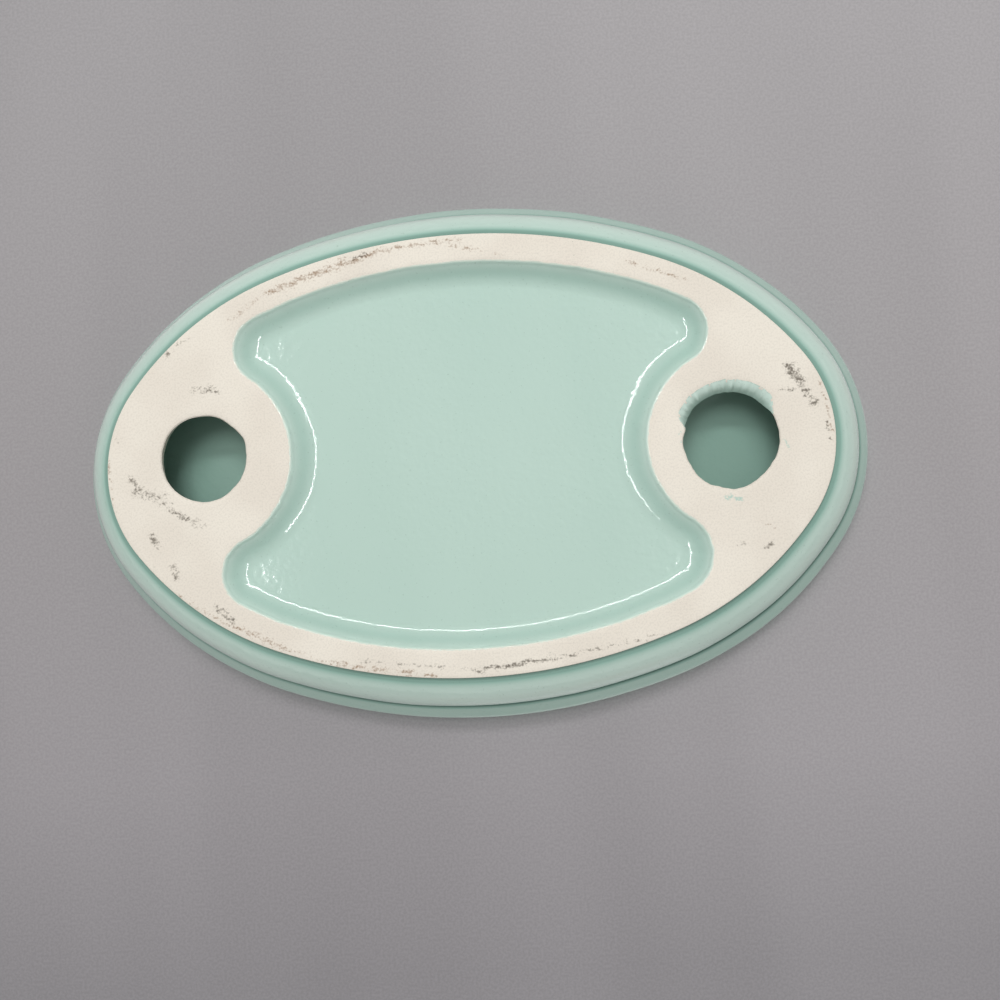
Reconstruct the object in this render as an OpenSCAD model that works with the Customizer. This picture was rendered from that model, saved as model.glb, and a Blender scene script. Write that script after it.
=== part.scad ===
// Oval soap dish, slip cast in earthenware and glazed, standing on its unglazed foot.
// +X runs along the long axis and +Z points up out of the basin. The foot face lies at Z = 0 and
// the origin is the middle of the foot. Seen from above, the left end is at -X.
// The clay body is one hollow casting. Every glaze coat is a solid of its own on the clay.

/* [Outline] */
// Radius of the foot outline at each end
end_r = 25; // [22:0.5:28]
// Radius of the four shoulders of the foot outline
shoulder_r = 57; // [50:0.5:64]
// Radius of the two long sides of the foot outline
side_r = 103.5; // [95:0.5:112]

/* [Outer moulding] */
// Height of the small step above the foot face
step_h = 1.1; // [0.8:0.1:1.6]
// Width of the small step
step_w = 0.7; // [0.4:0.1:1.2]
// Height of the upper edge of the wide rounded band
band_top_h = 7.5; // [6.5:0.1:8]
// How far the upper edge of the wide band stands outside the foot
band_out = 6.1; // [5.4:0.1:6.6]
// How far the wide band bulges beyond a straight line
band_bulge = 0.9; // [0.4:0.1:1.4]
// Radius of the groove under the lip
groove_r = 0.65; // [0.4:0.05:0.9]
// Radius of the lip roll
lip_r = 3.1; // [2.7:0.1:3.4]
// How far the middle of the lip roll stands outside the foot
lip_out = 6.15; // [5.8:0.05:6.5]
// Height of the middle of the lip roll
lip_h = 13.7; // [13:0.1:14.5]

/* [Basin] */
// Height of the basin floor
floor_h = 7; // [6.6:0.1:8]
// Radius where the basin wall runs into the floor
basin_fillet_r = 6; // [3:0.5:8]
// Number of low ribs that lift the soap
rib_count = 5; // [3:1:7]
// Distance from rib to rib
rib_pitch = 9; // [7:0.5:10]
// Width of a rib on the floor
rib_w = 3.2; // [2.4:0.1:4]
// Height of a rib above the floor
rib_h = 1.3; // [0.8:0.1:1.6]
// Gap between the ends of the ribs and the basin wall
rib_margin = 9; // [6:0.5:14]

/* [End platforms] */
// Height of the crown of each end platform
crown_h = 17.4; // [16.6:0.1:18.5]
// Radius of the dome that tops both platforms
dome_r = 150; // [90:5:300]
// Radius of the platform front at its top
front_top_r = 13.6; // [12:0.1:14.5]
// Radius of the platform front at the basin floor
front_foot_r = 19.4; // [18.6:0.1:20.5]
// Radius of the rounded edge of the platform front
front_edge_r = 2; // [1:0.25:2.5]
// Radius of the four basin corners at the rim
corner_top_r = 9.5; // [8:0.25:11]
// Radius of the four basin corners at the floor
corner_foot_r = 4; // [3:0.25:5]

/* [Underside recess] */
// Width of the foot beside the recess
foot_w = 5.4; // [4.6:0.1:6.2]
// Depth of the recess
recess_depth = 3; // [2:0.1:3.2]
// Width of the sloping recess wall
recess_wall_w = 3; // [2:0.1:3.6]
// Radius of the four rounded recess corners
tip_r = 4.8; // [4.2:0.1:5.4]

/* [Round bosses and drain holes] */
// Distance of the left boss from the end of the foot
left_boss_inset = 16.5; // [15.5:0.1:18]
// Sideways place of the left boss
left_boss_y = -2.1; // [-3:0.1:1]
// Radius of the left boss
left_boss_r = 18; // [17:0.1:19]
// How much nearer to the middle the left drain hole sits than its boss
left_hole_inset = 1.6; // [0:0.1:2.4]
// How far the left drain hole sits to the side of its boss
left_hole_side = 0.2; // [-1:0.1:1]
// Radius of the left drain hole
left_hole_r = 8; // [6:0.1:9]
// Distance of the right boss from the end of the foot
right_boss_inset = 17; // [16:0.1:18.5]
// Sideways place of the right boss
right_boss_y = 0.3; // [-1:0.1:2]
// Radius of the right boss
right_boss_r = 17.4; // [16.6:0.1:18.6]
// How much nearer to the middle the right drain hole sits than its boss
right_hole_inset = 1.9; // [0:0.1:2.4]
// How far the right drain hole sits to the side of its boss
right_hole_side = 0.1; // [-1:0.1:1]
// Radius of the right drain hole
right_hole_r = 8.8; // [6:0.1:9.4]
// Radius of the trimmed bevel at the mouth of the right drain hole
bevel_r = 10.3; // [9.8:0.1:10.8]
// Depth of that bevel
bevel_depth = 2.4; // [1.6:0.1:3]
// How far that bevel is set off to one side of the hole
bevel_out = 0.9; // [0.4:0.1:1.2]

/* [Hollow ends] */
// Thickness of the clay under each chamber
sole_t = 3.8; // [3.2:0.1:4.4]
// Height of the chamber ceiling
ceiling_h = 12.4; // [11.5:0.1:13]
// Radius of the chamber round its drain hole, at the sole
chamber_foot_r = 13.6; // [12.5:0.1:14]
// Radius of the chamber round its drain hole, at the ceiling
chamber_top_r = 11.8; // [11:0.1:12.5]
// Clay left between the outline of the foot and the chamber, at the sole
end_wall_t = 2.6; // [2.2:0.1:3.4]
// How much wider the chamber is towards the end, at the ceiling
end_flare = 3.2; // [2:0.1:3.6]
// Clay left round the basin and recess corners
corner_wall_t = 3.4; // [3:0.1:4]

/* [Glaze] */
// Thickness of the glaze
glaze_t = 0.4; // [0.3:0.05:0.6]
// Height of the bare clay edge that the glaze starts above
bare_h = 0.3; // [0.2:0.05:0.5]
// Gap between the bare edge and the lower edge of the glaze
edge_gap = 0.05; // [0.02:0.01:0.1]

/* [Hidden] */
$fn = 96;

clay_colour = "#e9e1d6";
glaze_colour = "#b6d0c5";
chamber_colour = "#7d9b8c";

// The arcs of the outline meet on normals whose cosine and sine are exact, so that the swept
// pieces share their end planes: 3-4-5 and 44-117-125 triangles.
end_turn_shares = [0.8, 0.6];
side_turn_shares = [0.352, 0.936];
shoulder_c = [(side_r - shoulder_r)*side_turn_shares.x, -(shoulder_r - end_r)*end_turn_shares.y];
end_c = [shoulder_c.x + (shoulder_r - end_r)*end_turn_shares.x, 0];
side_c = [0, shoulder_c.y - (side_r - shoulder_r)*side_turn_shares.y];

// Each arc of the outline: centre, radius, normal at its start and normal at its end
ARCS = [
    [end_c, end_r, across(end_turn_shares), end_turn_shares],
    [shoulder_c, shoulder_r, end_turn_shares, side_turn_shares],
    [side_c, side_r, side_turn_shares, along(side_turn_shares)],
    [along(shoulder_c), shoulder_r, along(side_turn_shares), along(end_turn_shares)],
    [-end_c, end_r, along(end_turn_shares), -end_turn_shares],
    [-shoulder_c, shoulder_r, -end_turn_shares, -side_turn_shares],
    [-side_c, side_r, -side_turn_shares, across(side_turn_shares)],
    [across(shoulder_c), shoulder_r, across(side_turn_shares), across(end_turn_shares)],
];

half_len = end_c.x + end_r;
lip_top_h = lip_h + lip_r;
overrun = lip_r;
// Length of the wedges that cut the sweeps. Times the shares above it gives exact numbers.
reach = 200;
// The swept ring reaches this far inside the outline, and the flat core runs under its edge
ring_w = 12;
core_lap = 2;
core_w = ring_w - core_lap;
core_steps = 4;
// The platforms' plan is drawn with short chords that stay inside the lip and sink in the floor
slab_inset = 1.8;
slab_out = lip_out - slab_inset;
slab_steps = 8;
slab_sink = 0.5;
slab_foot_h = floor_h - slab_sink;
// Circles that should touch run into each other by this much, so that they cross cleanly
bite = 0.08;
tip_bite = 0.2;
// The straight end of the recess reaches this far past the middle of its rounded corners
stop_out = 0.4;
wall_steps = 3;
fillet_steps = 5;
edge_steps = 4;
wall_slope = 45;

left_boss = [left_boss_inset - half_len, left_boss_y];
right_boss = [half_len - right_boss_inset, right_boss_y];
left_hole = left_boss + [left_hole_inset, left_hole_side];
right_hole = right_boss + [-right_hole_inset, right_hole_side];

// Plane geometry
function along(p) = [-p.x, p.y];
function across(p) = [p.x, -p.y];
function turn(p) = [-p.y, p.x];
function polar(r, t) = r*[cos(t), sin(t)];
function heading(p) = atan2(p.y, p.x);
function sweep_angle(a, b) = let (d = heading(b) - heading(a)) d < 0 ? d + 360 : d;
function arc_point(arc, share, out) =
    arc[0] + polar(arc[1] + out, heading(arc[2]) + share*sweep_angle(arc[2], arc[3]));
// The outline moved outwards, as a polygon with the given number of corners an arc. No corner
// falls on the joint of two arcs.
function outline_points(out, steps) =
    [for (arc = ARCS) for (i = [0:steps - 1]) arc_point(arc, (i + 1/2)/steps, out)];
// Where two circles cross; the crossing nearer to the middle of the dish is taken
function crossing(p, p_r, q, q_r) =
    let (gap = norm(q - p), u = (q - p)/gap,
         d = (p_r^2 - q_r^2 + gap^2)/(2*gap), h = sqrt(p_r^2 - d^2),
         a = p + d*u + h*turn(u), b = p + d*u - h*turn(u))
    abs(a.x) < abs(b.x) ? a : b;
// Centre of a shoulder in the quarter of the dish that the two signs name
function shoulder_of(sx, sy) = [sx*shoulder_c.x, sy*shoulder_c.y];
// Centre of the circle that touches a boss from outside and the inset outline from inside
function corner_centre(boss, boss_r, r, inset, sy) =
    let (sx = sign(boss.x))
    crossing(boss, boss_r + r, shoulder_of(sx, sy), shoulder_r - inset - r);
function arc_points(c, r, a, b, steps) = [for (i = [0:steps]) c + polar(r, a + (b - a)*i/steps)];

// Sweeps a profile round the outline. The profile's X is the distance outside the foot outline.
module around() {
    for (arc = ARCS) intersection() {
        translate(arc[0]) rotate_extrude() translate([arc[1], 0]) children();
        translate([0, 0, -overrun]) linear_extrude(lip_top_h + 2*overrun)
            polygon([arc[0], arc[0] + reach*arc[2], arc[0] + reach*arc[3]]);
    }
}

// Everything beyond a boss and its two corners, up to the end of the dish
module end_stop(boss, upper, lower, low, high) {
    sx = sign(boss.x);
    upper_way = (upper - shoulder_of(sx, 1))/norm(upper - shoulder_of(sx, 1));
    lower_way = (lower - shoulder_of(sx, -1))/norm(lower - shoulder_of(sx, -1));
    translate([0, 0, low]) linear_extrude(high - low)
        polygon([boss, upper, upper + half_len*upper_way, [sx*reach, half_len],
                 [sx*reach, -half_len], lower + half_len*lower_way, lower]);
}

// Outer moulding and rim, as a profile. The skin is how far it lies under the glaze.
band_run = [band_out - step_w, band_top_h - step_h];
band_chord = norm(band_run);
band_r = band_chord^2/(8*band_bulge) + band_bulge/2;
band_mid = [(band_out + step_w)/2, (band_top_h + step_h)/2];
band_c = band_mid + (band_r - band_bulge)*[-band_run.y, band_run.x]/band_chord;
groove_c = [band_out + groove_r/2, band_top_h + groove_r];
// The lip's flank runs from the groove to the roll, which it touches at this heading
flank_foot = [band_out + groove_r, groove_c.y + groove_r/2];
flank_way = flank_foot - [lip_out, lip_h];
flank_turn = heading(flank_way) + acos(lip_r/norm(flank_way));
// The corner of the basin wall and floor, under the point where the wall touches the roll
function lip_inside(skin) = [lip_out, lip_h] + polar(lip_r - skin, 90 + wall_slope);
basin_fillet_c =
    let (top = lip_inside(0), run = top.y - floor_h)
    [top.x - run - basin_fillet_r*tan(wall_slope/2), floor_h + basin_fillet_r];

module rim_profile(skin) {
    tuck = bite + skin;
    fillet = arc_points(basin_fillet_c, basin_fillet_r + skin, 270, 270 + wall_slope,
                        fillet_steps);
    difference() {
        union() {
            polygon(concat(
                [[-ring_w, 0], [0, 0]],
                skin > 0 ? [[0, bare_h], [-skin, bare_h]] : [],
                [[-skin, step_h + skin], [step_w - tuck, step_h + skin],
                 [band_out - tuck, band_top_h],
                 flank_foot - [skin, 0],
                 [lip_out, lip_h] + polar(lip_r - tuck, flank_turn),
                 [lip_out, lip_h],
                 lip_inside(tuck)],
                [for (i = [fillet_steps:-1:0]) fillet[i]],
                [[-ring_w, floor_h - skin]]));
            intersection() {
                translate(band_c) circle(band_r - skin);
                translate([0, step_h + skin]) square([ring_w, band_top_h - step_h - skin]);
            }
            translate([lip_out, lip_h]) circle(lip_r - skin);
        }
        translate(groove_c) circle(groove_r + skin);
    }
}

// Low ribs across the basin, sunk in its floor
rib_r = (rib_w^2/4 + rib_h^2)/(2*rib_h);
module ribs(skin) {
    for (i = [0:rib_count - 1]) {
        x = (i - (rib_count - 1)/2)*rib_pitch;
        half = side_c.y + sqrt((side_r - foot_w)^2 - x^2) - rib_margin;
        translate([x, 0, floor_h + rib_h - rib_r]) {
            rotate([90, 0, 0]) cylinder(h = 2*half, r = rib_r - skin, center = true);
            for (side = [-1, 1]) translate([0, side*half, 0]) sphere(rib_r - skin);
        }
    }
}

// Raised end: a round front towards the basin and a slab behind it, under one shallow dome
front_draft = (front_foot_r - front_top_r)/(crown_h - floor_h);
front_lean = norm([1, front_draft]);
corner_draft = (corner_top_r - corner_foot_r)/(crown_h - floor_h);
function front_r(h) = front_foot_r - front_draft*(h - floor_h);
// The rounded front edge runs out into the dome
front_edge_h = crown_h - dome_r + bite
    + sqrt((dome_r - front_edge_r)^2 - (front_top_r - front_edge_r)^2);
function basin_corner(boss, sy) = corner_centre(boss, front_top_r, corner_top_r, -slab_out, sy);

module platform(boss, skin) {
    lean = skin*front_lean;
    top_h = crown_h + overrun;
    intersection() {
        union() {
            translate(boss) rotate_extrude() polygon(concat(
                [[0, slab_foot_h], [front_r(slab_foot_h) - lean, slab_foot_h]],
                arc_points([front_r(front_edge_h) - front_edge_r*front_lean, front_edge_h],
                           front_edge_r - skin, atan(front_draft), 90, edge_steps),
                [[0, top_h]]));
            difference() {
                intersection() {
                    translate([0, 0, slab_foot_h]) linear_extrude(top_h - slab_foot_h)
                        polygon(outline_points(slab_out, slab_steps));
                    end_stop(boss, basin_corner(boss, 1), basin_corner(boss, -1), 0, 2*top_h);
                }
                for (sy = [-1, 1]) translate(basin_corner(boss, sy)) rotate_extrude()
                    polygon([[0, 0], [corner_foot_r + lean + bite, 0],
                             [corner_foot_r + lean + bite, floor_h - skin],
                             [corner_top_r + lean + bite, crown_h],
                             [corner_top_r + lean + bite, 2*crown_h], [0, 2*crown_h]]);
            }
        }
        translate([boss.x, boss.y, crown_h - dome_r]) rotate([90, 0, 0]) sphere(dome_r - skin);
    }
}

// The dish without its recess, chambers and holes
module solid_form(skin) {
    around() rim_profile(skin);
    linear_extrude(floor_h - skin) polygon(outline_points(-core_w, core_steps));
    ribs(skin);
    platform(left_boss, skin);
    platform(right_boss, skin);
}

// The shallow recess under the basin. Its wall follows half a wave, and the same wave turns
// round the bosses and the corners.
function wave_h(i, skin) = (recess_depth + skin)*(1 - cos(180*i/wall_steps))/2;
function wave_w(i) = recess_wall_w*i/wall_steps;
module recess_end(boss, boss_r, skin, below, part) {
    upper = corner_centre(boss, boss_r, tip_r, foot_w, 1);
    lower = corner_centre(boss, boss_r, tip_r, foot_w, -1);
    roof_h = recess_depth + skin + overrun;
    if (part == "solid") {
        translate(boss) rotate_extrude() polygon(concat(
            [[0, -overrun], [boss_r - skin, -overrun]],
            [for (i = [0:wall_steps]) [boss_r - skin + wave_w(i), wave_h(i, skin)]],
            [[boss_r - skin + recess_wall_w, roof_h], [0, roof_h]]));
        translate([-sign(boss.x)*stop_out, 0, 0])
            end_stop(boss, upper, lower, -overrun, roof_h);
    } else intersection() {
        for (c = [upper, lower]) translate(c) rotate_extrude() polygon(concat(
            [[0, -below]], below > 0 ? [[tip_r + tip_bite + skin, -below]] : [],
            [for (i = [0:wall_steps]) [tip_r + tip_bite + skin - wave_w(i), wave_h(i, skin)]],
            [[0, recess_depth + skin]]));
        translate([-2*sign(boss.x)*stop_out, 0, 0])
            end_stop(boss, upper, lower, -2*overrun, roof_h + overrun);
    }
}

module recess_space(skin, below) {
    difference() {
        union() {
            around() polygon(concat(
                [[-ring_w, -below]], below > 0 ? [[-foot_w + skin, -below]] : [],
                [for (i = [0:wall_steps]) [-foot_w + skin - wave_w(i), wave_h(i, skin)]],
                [[-ring_w, recess_depth + skin]]));
            translate([0, 0, -below]) linear_extrude(recess_depth + skin + below)
                polygon(outline_points(-core_w, core_steps));
        }
        recess_end(left_boss, left_boss_r, skin, below, "solid");
        recess_end(right_boss, right_boss_r, skin, below, "solid");
    }
    recess_end(left_boss, left_boss_r, skin, below, "space");
    recess_end(right_boss, right_boss_r, skin, below, "space");
}

// The hollow inside one end: a round space over the drain hole, and the space behind it that
// follows the end of the dish. Both keep clear of the recess and basin corners.
module chamber(boss, boss_r, skin) {
    low = sole_t + skin;
    high = ceiling_h - skin;
    keep = corner_wall_t + skin;
    corner_low_r = corner_foot_r - corner_draft*(floor_h - low) + keep;
    corner_high_r = corner_foot_r + corner_draft*(high - floor_h) + keep;
    translate([boss.x, boss.y, low])
        cylinder(h = high - low, r1 = chamber_foot_r - skin, r2 = chamber_top_r - skin);
    difference() {
        intersection() {
            translate([sign(boss.x)*end_c.x, 0, low])
                cylinder(h = high - low, r1 = end_r - end_wall_t - skin,
                         r2 = end_r - end_wall_t + end_flare - skin);
            end_stop(boss, basin_corner(boss, 1), basin_corner(boss, -1), 0, ceiling_h + overrun);
        }
        for (sy = [-1, 1]) {
            translate(corner_centre(boss, boss_r, tip_r, foot_w, sy))
                cylinder(h = ceiling_h + overrun, r = tip_r + keep);
            translate(basin_corner(boss, sy)) translate([0, 0, low])
                cylinder(h = high - low, r1 = corner_low_r, r2 = corner_high_r);
        }
    }
}

// A drain hole, from below the foot up into the chamber
module hole_space(hole, r) {
    translate([hole.x, hole.y, -overrun]) cylinder(h = sole_t + 2*overrun, r = r);
}

// The trimmed bevel at the mouth of the right hole, set off to one side so that it is a crescent
bevel_draft = (bevel_r - right_hole_r)/bevel_depth;
module bevel_space(skin) {
    translate([right_hole.x, right_hole.y - bevel_out, -overrun])
        cylinder(h = bevel_depth + overrun, r1 = bevel_r - skin + bevel_draft*overrun,
                 r2 = right_hole_r - skin);
}

module clay_body() {
    color(clay_colour) difference() {
        solid_form(glaze_t);
        recess_space(glaze_t, overrun);
        chamber(left_boss, left_boss_r, 0);
        chamber(right_boss, right_boss_r, 0);
        hole_space(left_hole, left_hole_r);
        hole_space(right_hole, right_hole_r);
        bevel_space(0);
    }
}

// The coat over the outer moulding, the rim, the basin and the end platforms
module outer_glaze() {
    color(glaze_colour) difference() {
        solid_form(0);
        solid_form(glaze_t);
        translate([-reach, -reach, -overrun]) cube([2*reach, 2*reach, overrun + bare_h + edge_gap]);
    }
}

module recess_glaze() {
    color(glaze_colour) difference() {
        recess_space(glaze_t, 0);
        recess_space(0, overrun);
    }
}

module left_chamber_glaze() {
    color(chamber_colour) difference() {
        chamber(left_boss, left_boss_r, 0);
        chamber(left_boss, left_boss_r, glaze_t);
        hole_space(left_hole, left_hole_r);
    }
}

module right_chamber_glaze() {
    color(chamber_colour) difference() {
        chamber(right_boss, right_boss_r, 0);
        chamber(right_boss, right_boss_r, glaze_t);
        hole_space(right_hole, right_hole_r);
    }
}

// Glaze that ran over the bevel at the mouth of the right drain hole
module drain_collar_glaze() {
    color(glaze_colour) difference() {
        intersection() {
            bevel_space(0);
            translate([right_hole.x - bevel_r, right_hole.y - bevel_r - bevel_out, 0])
                cube([2*bevel_r, 2*bevel_r, bevel_depth]);
        }
        bevel_space(glaze_t);
        hole_space(right_hole, right_hole_r);
    }
}

clay_body();
outer_glaze();
recess_glaze();
left_chamber_glaze();
right_chamber_glaze();
drain_collar_glaze();
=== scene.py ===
"""Oval soap dish, slip cast in earthenware and glazed: surfaces, finishes and the studio.

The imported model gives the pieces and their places. This file gives every piece its finished
surface in the same frame: +X along the dish, +Z up out of the basin, the foot face at zero.
Sizes are in millimetres, headings in degrees, and both are converted where a mesh is made.
The dish is shown from below, as a dish that lies on its rim, so the camera looks up at the foot.
"""

import logging
import math
from dataclasses import dataclass, field
from enum import Enum

import bmesh
import bpy
import numpy as np
from mathutils import Matrix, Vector
from mathutils.geometry import delaunay_2d_cdt


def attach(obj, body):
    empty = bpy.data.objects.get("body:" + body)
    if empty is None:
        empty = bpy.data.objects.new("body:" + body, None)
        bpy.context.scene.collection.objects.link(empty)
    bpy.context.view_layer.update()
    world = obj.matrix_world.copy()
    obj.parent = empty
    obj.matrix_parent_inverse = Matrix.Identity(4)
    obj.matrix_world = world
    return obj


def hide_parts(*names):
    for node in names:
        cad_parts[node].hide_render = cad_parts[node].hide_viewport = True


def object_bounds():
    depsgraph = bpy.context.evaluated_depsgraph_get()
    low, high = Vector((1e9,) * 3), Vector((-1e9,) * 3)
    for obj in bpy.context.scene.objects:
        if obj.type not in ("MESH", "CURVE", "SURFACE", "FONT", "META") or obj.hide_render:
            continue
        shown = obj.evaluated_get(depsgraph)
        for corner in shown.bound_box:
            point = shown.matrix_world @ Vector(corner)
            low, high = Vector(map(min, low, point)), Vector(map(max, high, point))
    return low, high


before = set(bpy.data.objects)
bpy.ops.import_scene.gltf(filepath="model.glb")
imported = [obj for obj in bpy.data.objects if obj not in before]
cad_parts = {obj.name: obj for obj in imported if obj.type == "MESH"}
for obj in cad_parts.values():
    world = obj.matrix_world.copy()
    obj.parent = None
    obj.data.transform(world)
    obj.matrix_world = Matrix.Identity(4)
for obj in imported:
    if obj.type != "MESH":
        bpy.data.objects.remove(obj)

Array = np.ndarray
Point = tuple[float, float]
Way = tuple[float, float, float]
Swells = tuple[tuple[float, float, int], ...]
Tree = bpy.types.NodeTree
Item = bpy.types.Object

LOG = logging.getLogger("soap_dish")
MM = 0.001
ROOT = "root"
CAD_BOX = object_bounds()

# Points closer than the weld become one, faces that meet at more degrees than the crease keep a
# sharp edge, and distances are worked out for one batch of points at a time.
WELD_MM = 0.0005
CREASE = 42.0
BATCH = 1000

# Sizes that several pieces share: the glaze's thickness, the bare foot's width beside the recess,
# and the pool level of glaze that neither ran off nor ran together.
GLAZE_T = 0.4
FOOT_W = 5.4
EVEN = 0.5


class Slot(Enum):
    """The record's material slots."""

    BISQUE = "bisque"
    GLAZE = "glaze"
    CHAMBER = "chamber_glaze"


class Stain(Enum):
    """What a mark on the bare clay is made of. The value names the mesh attribute."""

    SOOT = "soot"
    RUST = "rust"
    GLAZE = "residue"


def heading(v: Array) -> float:
    """Direction of a plane vector, in degrees."""
    return math.degrees(math.atan2(v[1], v[0]))


def ray(degrees: Array | float) -> Array:
    """Unit vectors at headings in degrees: cosine and sine, on the last axis."""
    turn = np.radians(degrees)
    return np.stack([np.cos(turn), np.sin(turn)], axis=-1)


def unit(v: Array) -> Array:
    """Vectors on the last axis, divided by their lengths."""
    return v / np.maximum(np.linalg.norm(v, axis=-1, keepdims=True), 1e-12)


def smooth(t: Array) -> Array:
    """Smooth step: zero below 0, one above 1, and 3t^2 - 2t^3 between."""
    t = np.clip(t, 0.0, 1.0)
    return t * t * (3.0 - 2.0 * t)


def soft_max(a: Array | float, b: Array, width: float) -> Array:
    """The larger of two heights, rounded where they differ by less than a width: the larger one
    plus a quarter of the width times the square of what the difference leaves of the width."""
    near = np.maximum(width - np.abs(a - b), 0.0) / width
    return np.maximum(a, b) + 0.25 * width * near**2


def soft_min(a: Array, b: Array, width: float) -> Array:
    """The smaller of two heights, rounded where they meet."""
    return -soft_max(-a, -b, width)


def blurred(values: Array, width: float, closed: bool) -> Array:
    """A weighted mean of each row's neighbours along axis 0, with a bell of that width in rows.

    Args:
        values: rows of numbers.
        width: standard deviation of the bell, in rows.
        closed: whether the rows run in a ring. Otherwise the ends are mirrored through
            themselves, so that they stay in place.

    Returns:
        The smoothed rows.
    """
    reach = max(1, math.ceil(3 * width))
    bell = np.exp(-0.5 * (np.arange(-reach, reach + 1) / max(width, 1e-6)) ** 2)
    bell /= bell.sum()
    if closed:
        padded = np.concatenate([values[-reach:], values, values[:reach]])
    else:
        head = 2 * values[0] - values[reach:0:-1]
        tail = 2 * values[-1] - values[-2 : -reach - 2 : -1]
        padded = np.concatenate([head, values, tail])
    count = len(values)
    return sum(weight * padded[i : i + count] for i, weight in enumerate(bell))


def waves(points: Array, length: float, seed: int) -> Array:
    """A smooth unevenness: the mean of eight plane sine waves with seeded directions, lengths
    and phases. A mean of eight seldom passes 0.6, so a factor brings it to about -1 to 1.

    Args:
        points: places, on the last axis.
        length: about the length of each wave, in the units of the places.
        seed: seed of the directions, the lengths and the phases.

    Returns:
        One number for each place.
    """
    rng = np.random.default_rng(seed)
    ways = unit(rng.normal(size=(8, points.shape[-1])))
    lengths = length * rng.uniform(0.7, 1.5, 8)
    phases = rng.uniform(0.0, 2 * math.pi, 8)
    angle = 2 * math.pi * np.einsum("...k,mk->...m", points, ways) / lengths + phases
    return np.sin(angle).mean(axis=-1) * 1.6


def swelled(points: Array, swells: Swells) -> Array:
    """The sum of several waves, each given as its height, its length and its seed."""
    return sum(tall * waves(points, length, seed) for tall, length, seed in swells)


@dataclass(frozen=True)
class Bell:
    """A level that is highest in one place and fades with the distance from it."""

    most: float
    reach: float

    def at(self, away: Array) -> Array:
        """The level at distances from the place."""
        return self.most * np.exp(-((away / self.reach) ** 2))


@dataclass(frozen=True)
class Loop:
    """A closed line in the plane, counterclockwise, with its outward normals."""

    points: Array
    normals: Array

    def moved(self, out: Array | float) -> Array:
        """The points moved outwards by one distance, or by one distance a point."""
        return self.points + np.broadcast_to(out, len(self.points))[:, None] * self.normals


@dataclass(frozen=True)
class Arc:
    """A stretch of a closed line, from one direction to another. A hollow one runs clockwise."""

    centre: Array
    radius: float
    start: Array
    end: Array
    spacing: float
    hollow: bool = False

    def stations(self) -> tuple[Array, Array]:
        """Points along the arc, without its end, and their outward normals."""
        first, last = heading(self.start), heading(self.end)
        turn = -((first - last) % 360) if self.hollow else (last - first) % 360
        count = max(2, round(abs(math.radians(turn)) * self.radius / self.spacing))
        way = ray(first + turn * np.arange(count) / count)
        return self.centre + self.radius * way, -way if self.hollow else way


def chain(arcs: list[Arc]) -> Loop:
    """Joins arcs that follow each other into one closed line."""
    points, normals = zip(*(arc.stations() for arc in arcs))
    return Loop(np.concatenate(points), np.concatenate(normals))


@dataclass(frozen=True)
class FootOutline:
    """The oval of the foot: eight arcs of three radii that meet on exact normals."""

    end_r: float = 25.0
    shoulder_r: float = 57.0
    side_r: float = 103.5
    end_turn_shares: Point = (0.8, 0.6)
    side_turn_shares: Point = (0.352, 0.936)

    @property
    def shoulder(self) -> Array:
        """Centre of the shoulder arc of the quarter with positive X and Y."""
        return np.array([
            (self.side_r - self.shoulder_r) * self.side_turn_shares[0],
            -(self.shoulder_r - self.end_r) * self.end_turn_shares[1],
        ])

    @property
    def end(self) -> Array:
        """Centre of the end arc with positive X."""
        along = (self.shoulder_r - self.end_r) * self.end_turn_shares[0]
        return np.array([self.shoulder[0] + along, 0.0])

    @property
    def side(self) -> Array:
        """Centre of the side arc with positive Y."""
        down = (self.side_r - self.shoulder_r) * self.side_turn_shares[1]
        return np.array([0.0, self.shoulder[1] - down])

    def shoulder_of(self, sx: float, sy: float) -> Array:
        """Centre of the shoulder in the quarter that two signs name."""
        return self.shoulder * np.array([sx, sy])

    def loop(self, side_step: float, end_step: float) -> Loop:
        """The whole oval: four arcs, and the same four turned by half a turn.

        Args:
            side_step: distance between the stations of the long sides.
            end_step: the same on the shoulders and the ends.

        Returns:
            The closed line.
        """
        end, side = np.array(self.end_turn_shares), np.array(self.side_turn_shares)
        flip_x, flip_y = np.array([-1.0, 1.0]), np.array([1.0, -1.0])
        arcs = []
        for sign in (1.0, -1.0):
            e, s, hub = sign * end, sign * side, sign * self.shoulder
            arcs += [
                Arc(sign * self.end, self.end_r, e * flip_y, e, end_step),
                Arc(hub, self.shoulder_r, e, s, end_step),
                Arc(sign * self.side, self.side_r, s, s * flip_x, side_step),
                Arc(hub * flip_x, self.shoulder_r, s * flip_x, e * flip_x, end_step),
            ]
        return chain(arcs)

    def corner(self, boss: Array, boss_r: float, r: float, inset: float, sy: float) -> Array:
        """Centre of the circle that touches a boss from outside and the inset oval from inside:
        where a circle about the boss and one about the shoulder's centre cross.

        Args:
            boss: middle of the boss.
            boss_r: radius of the boss.
            r: radius of the circle.
            inset: how far the oval is drawn in. A negative inset draws it out.
            sy: sign of the long side that the circle touches.

        Returns:
            The crossing that is nearer to the middle of the dish.
        """
        q = self.shoulder_of(math.copysign(1.0, boss[0]), sy)
        p_r, q_r = boss_r + r, self.shoulder_r - inset - r
        gap = float(np.linalg.norm(q - boss))
        u = (q - boss) / gap
        d = (p_r**2 - q_r**2 + gap**2) / (2 * gap)
        h = math.sqrt(p_r**2 - d**2)
        side = np.array([-u[1], u[0]])
        both = (boss + d * u + h * side, boss + d * u - h * side)
        return min(both, key=lambda c: abs(c[0]))


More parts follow.
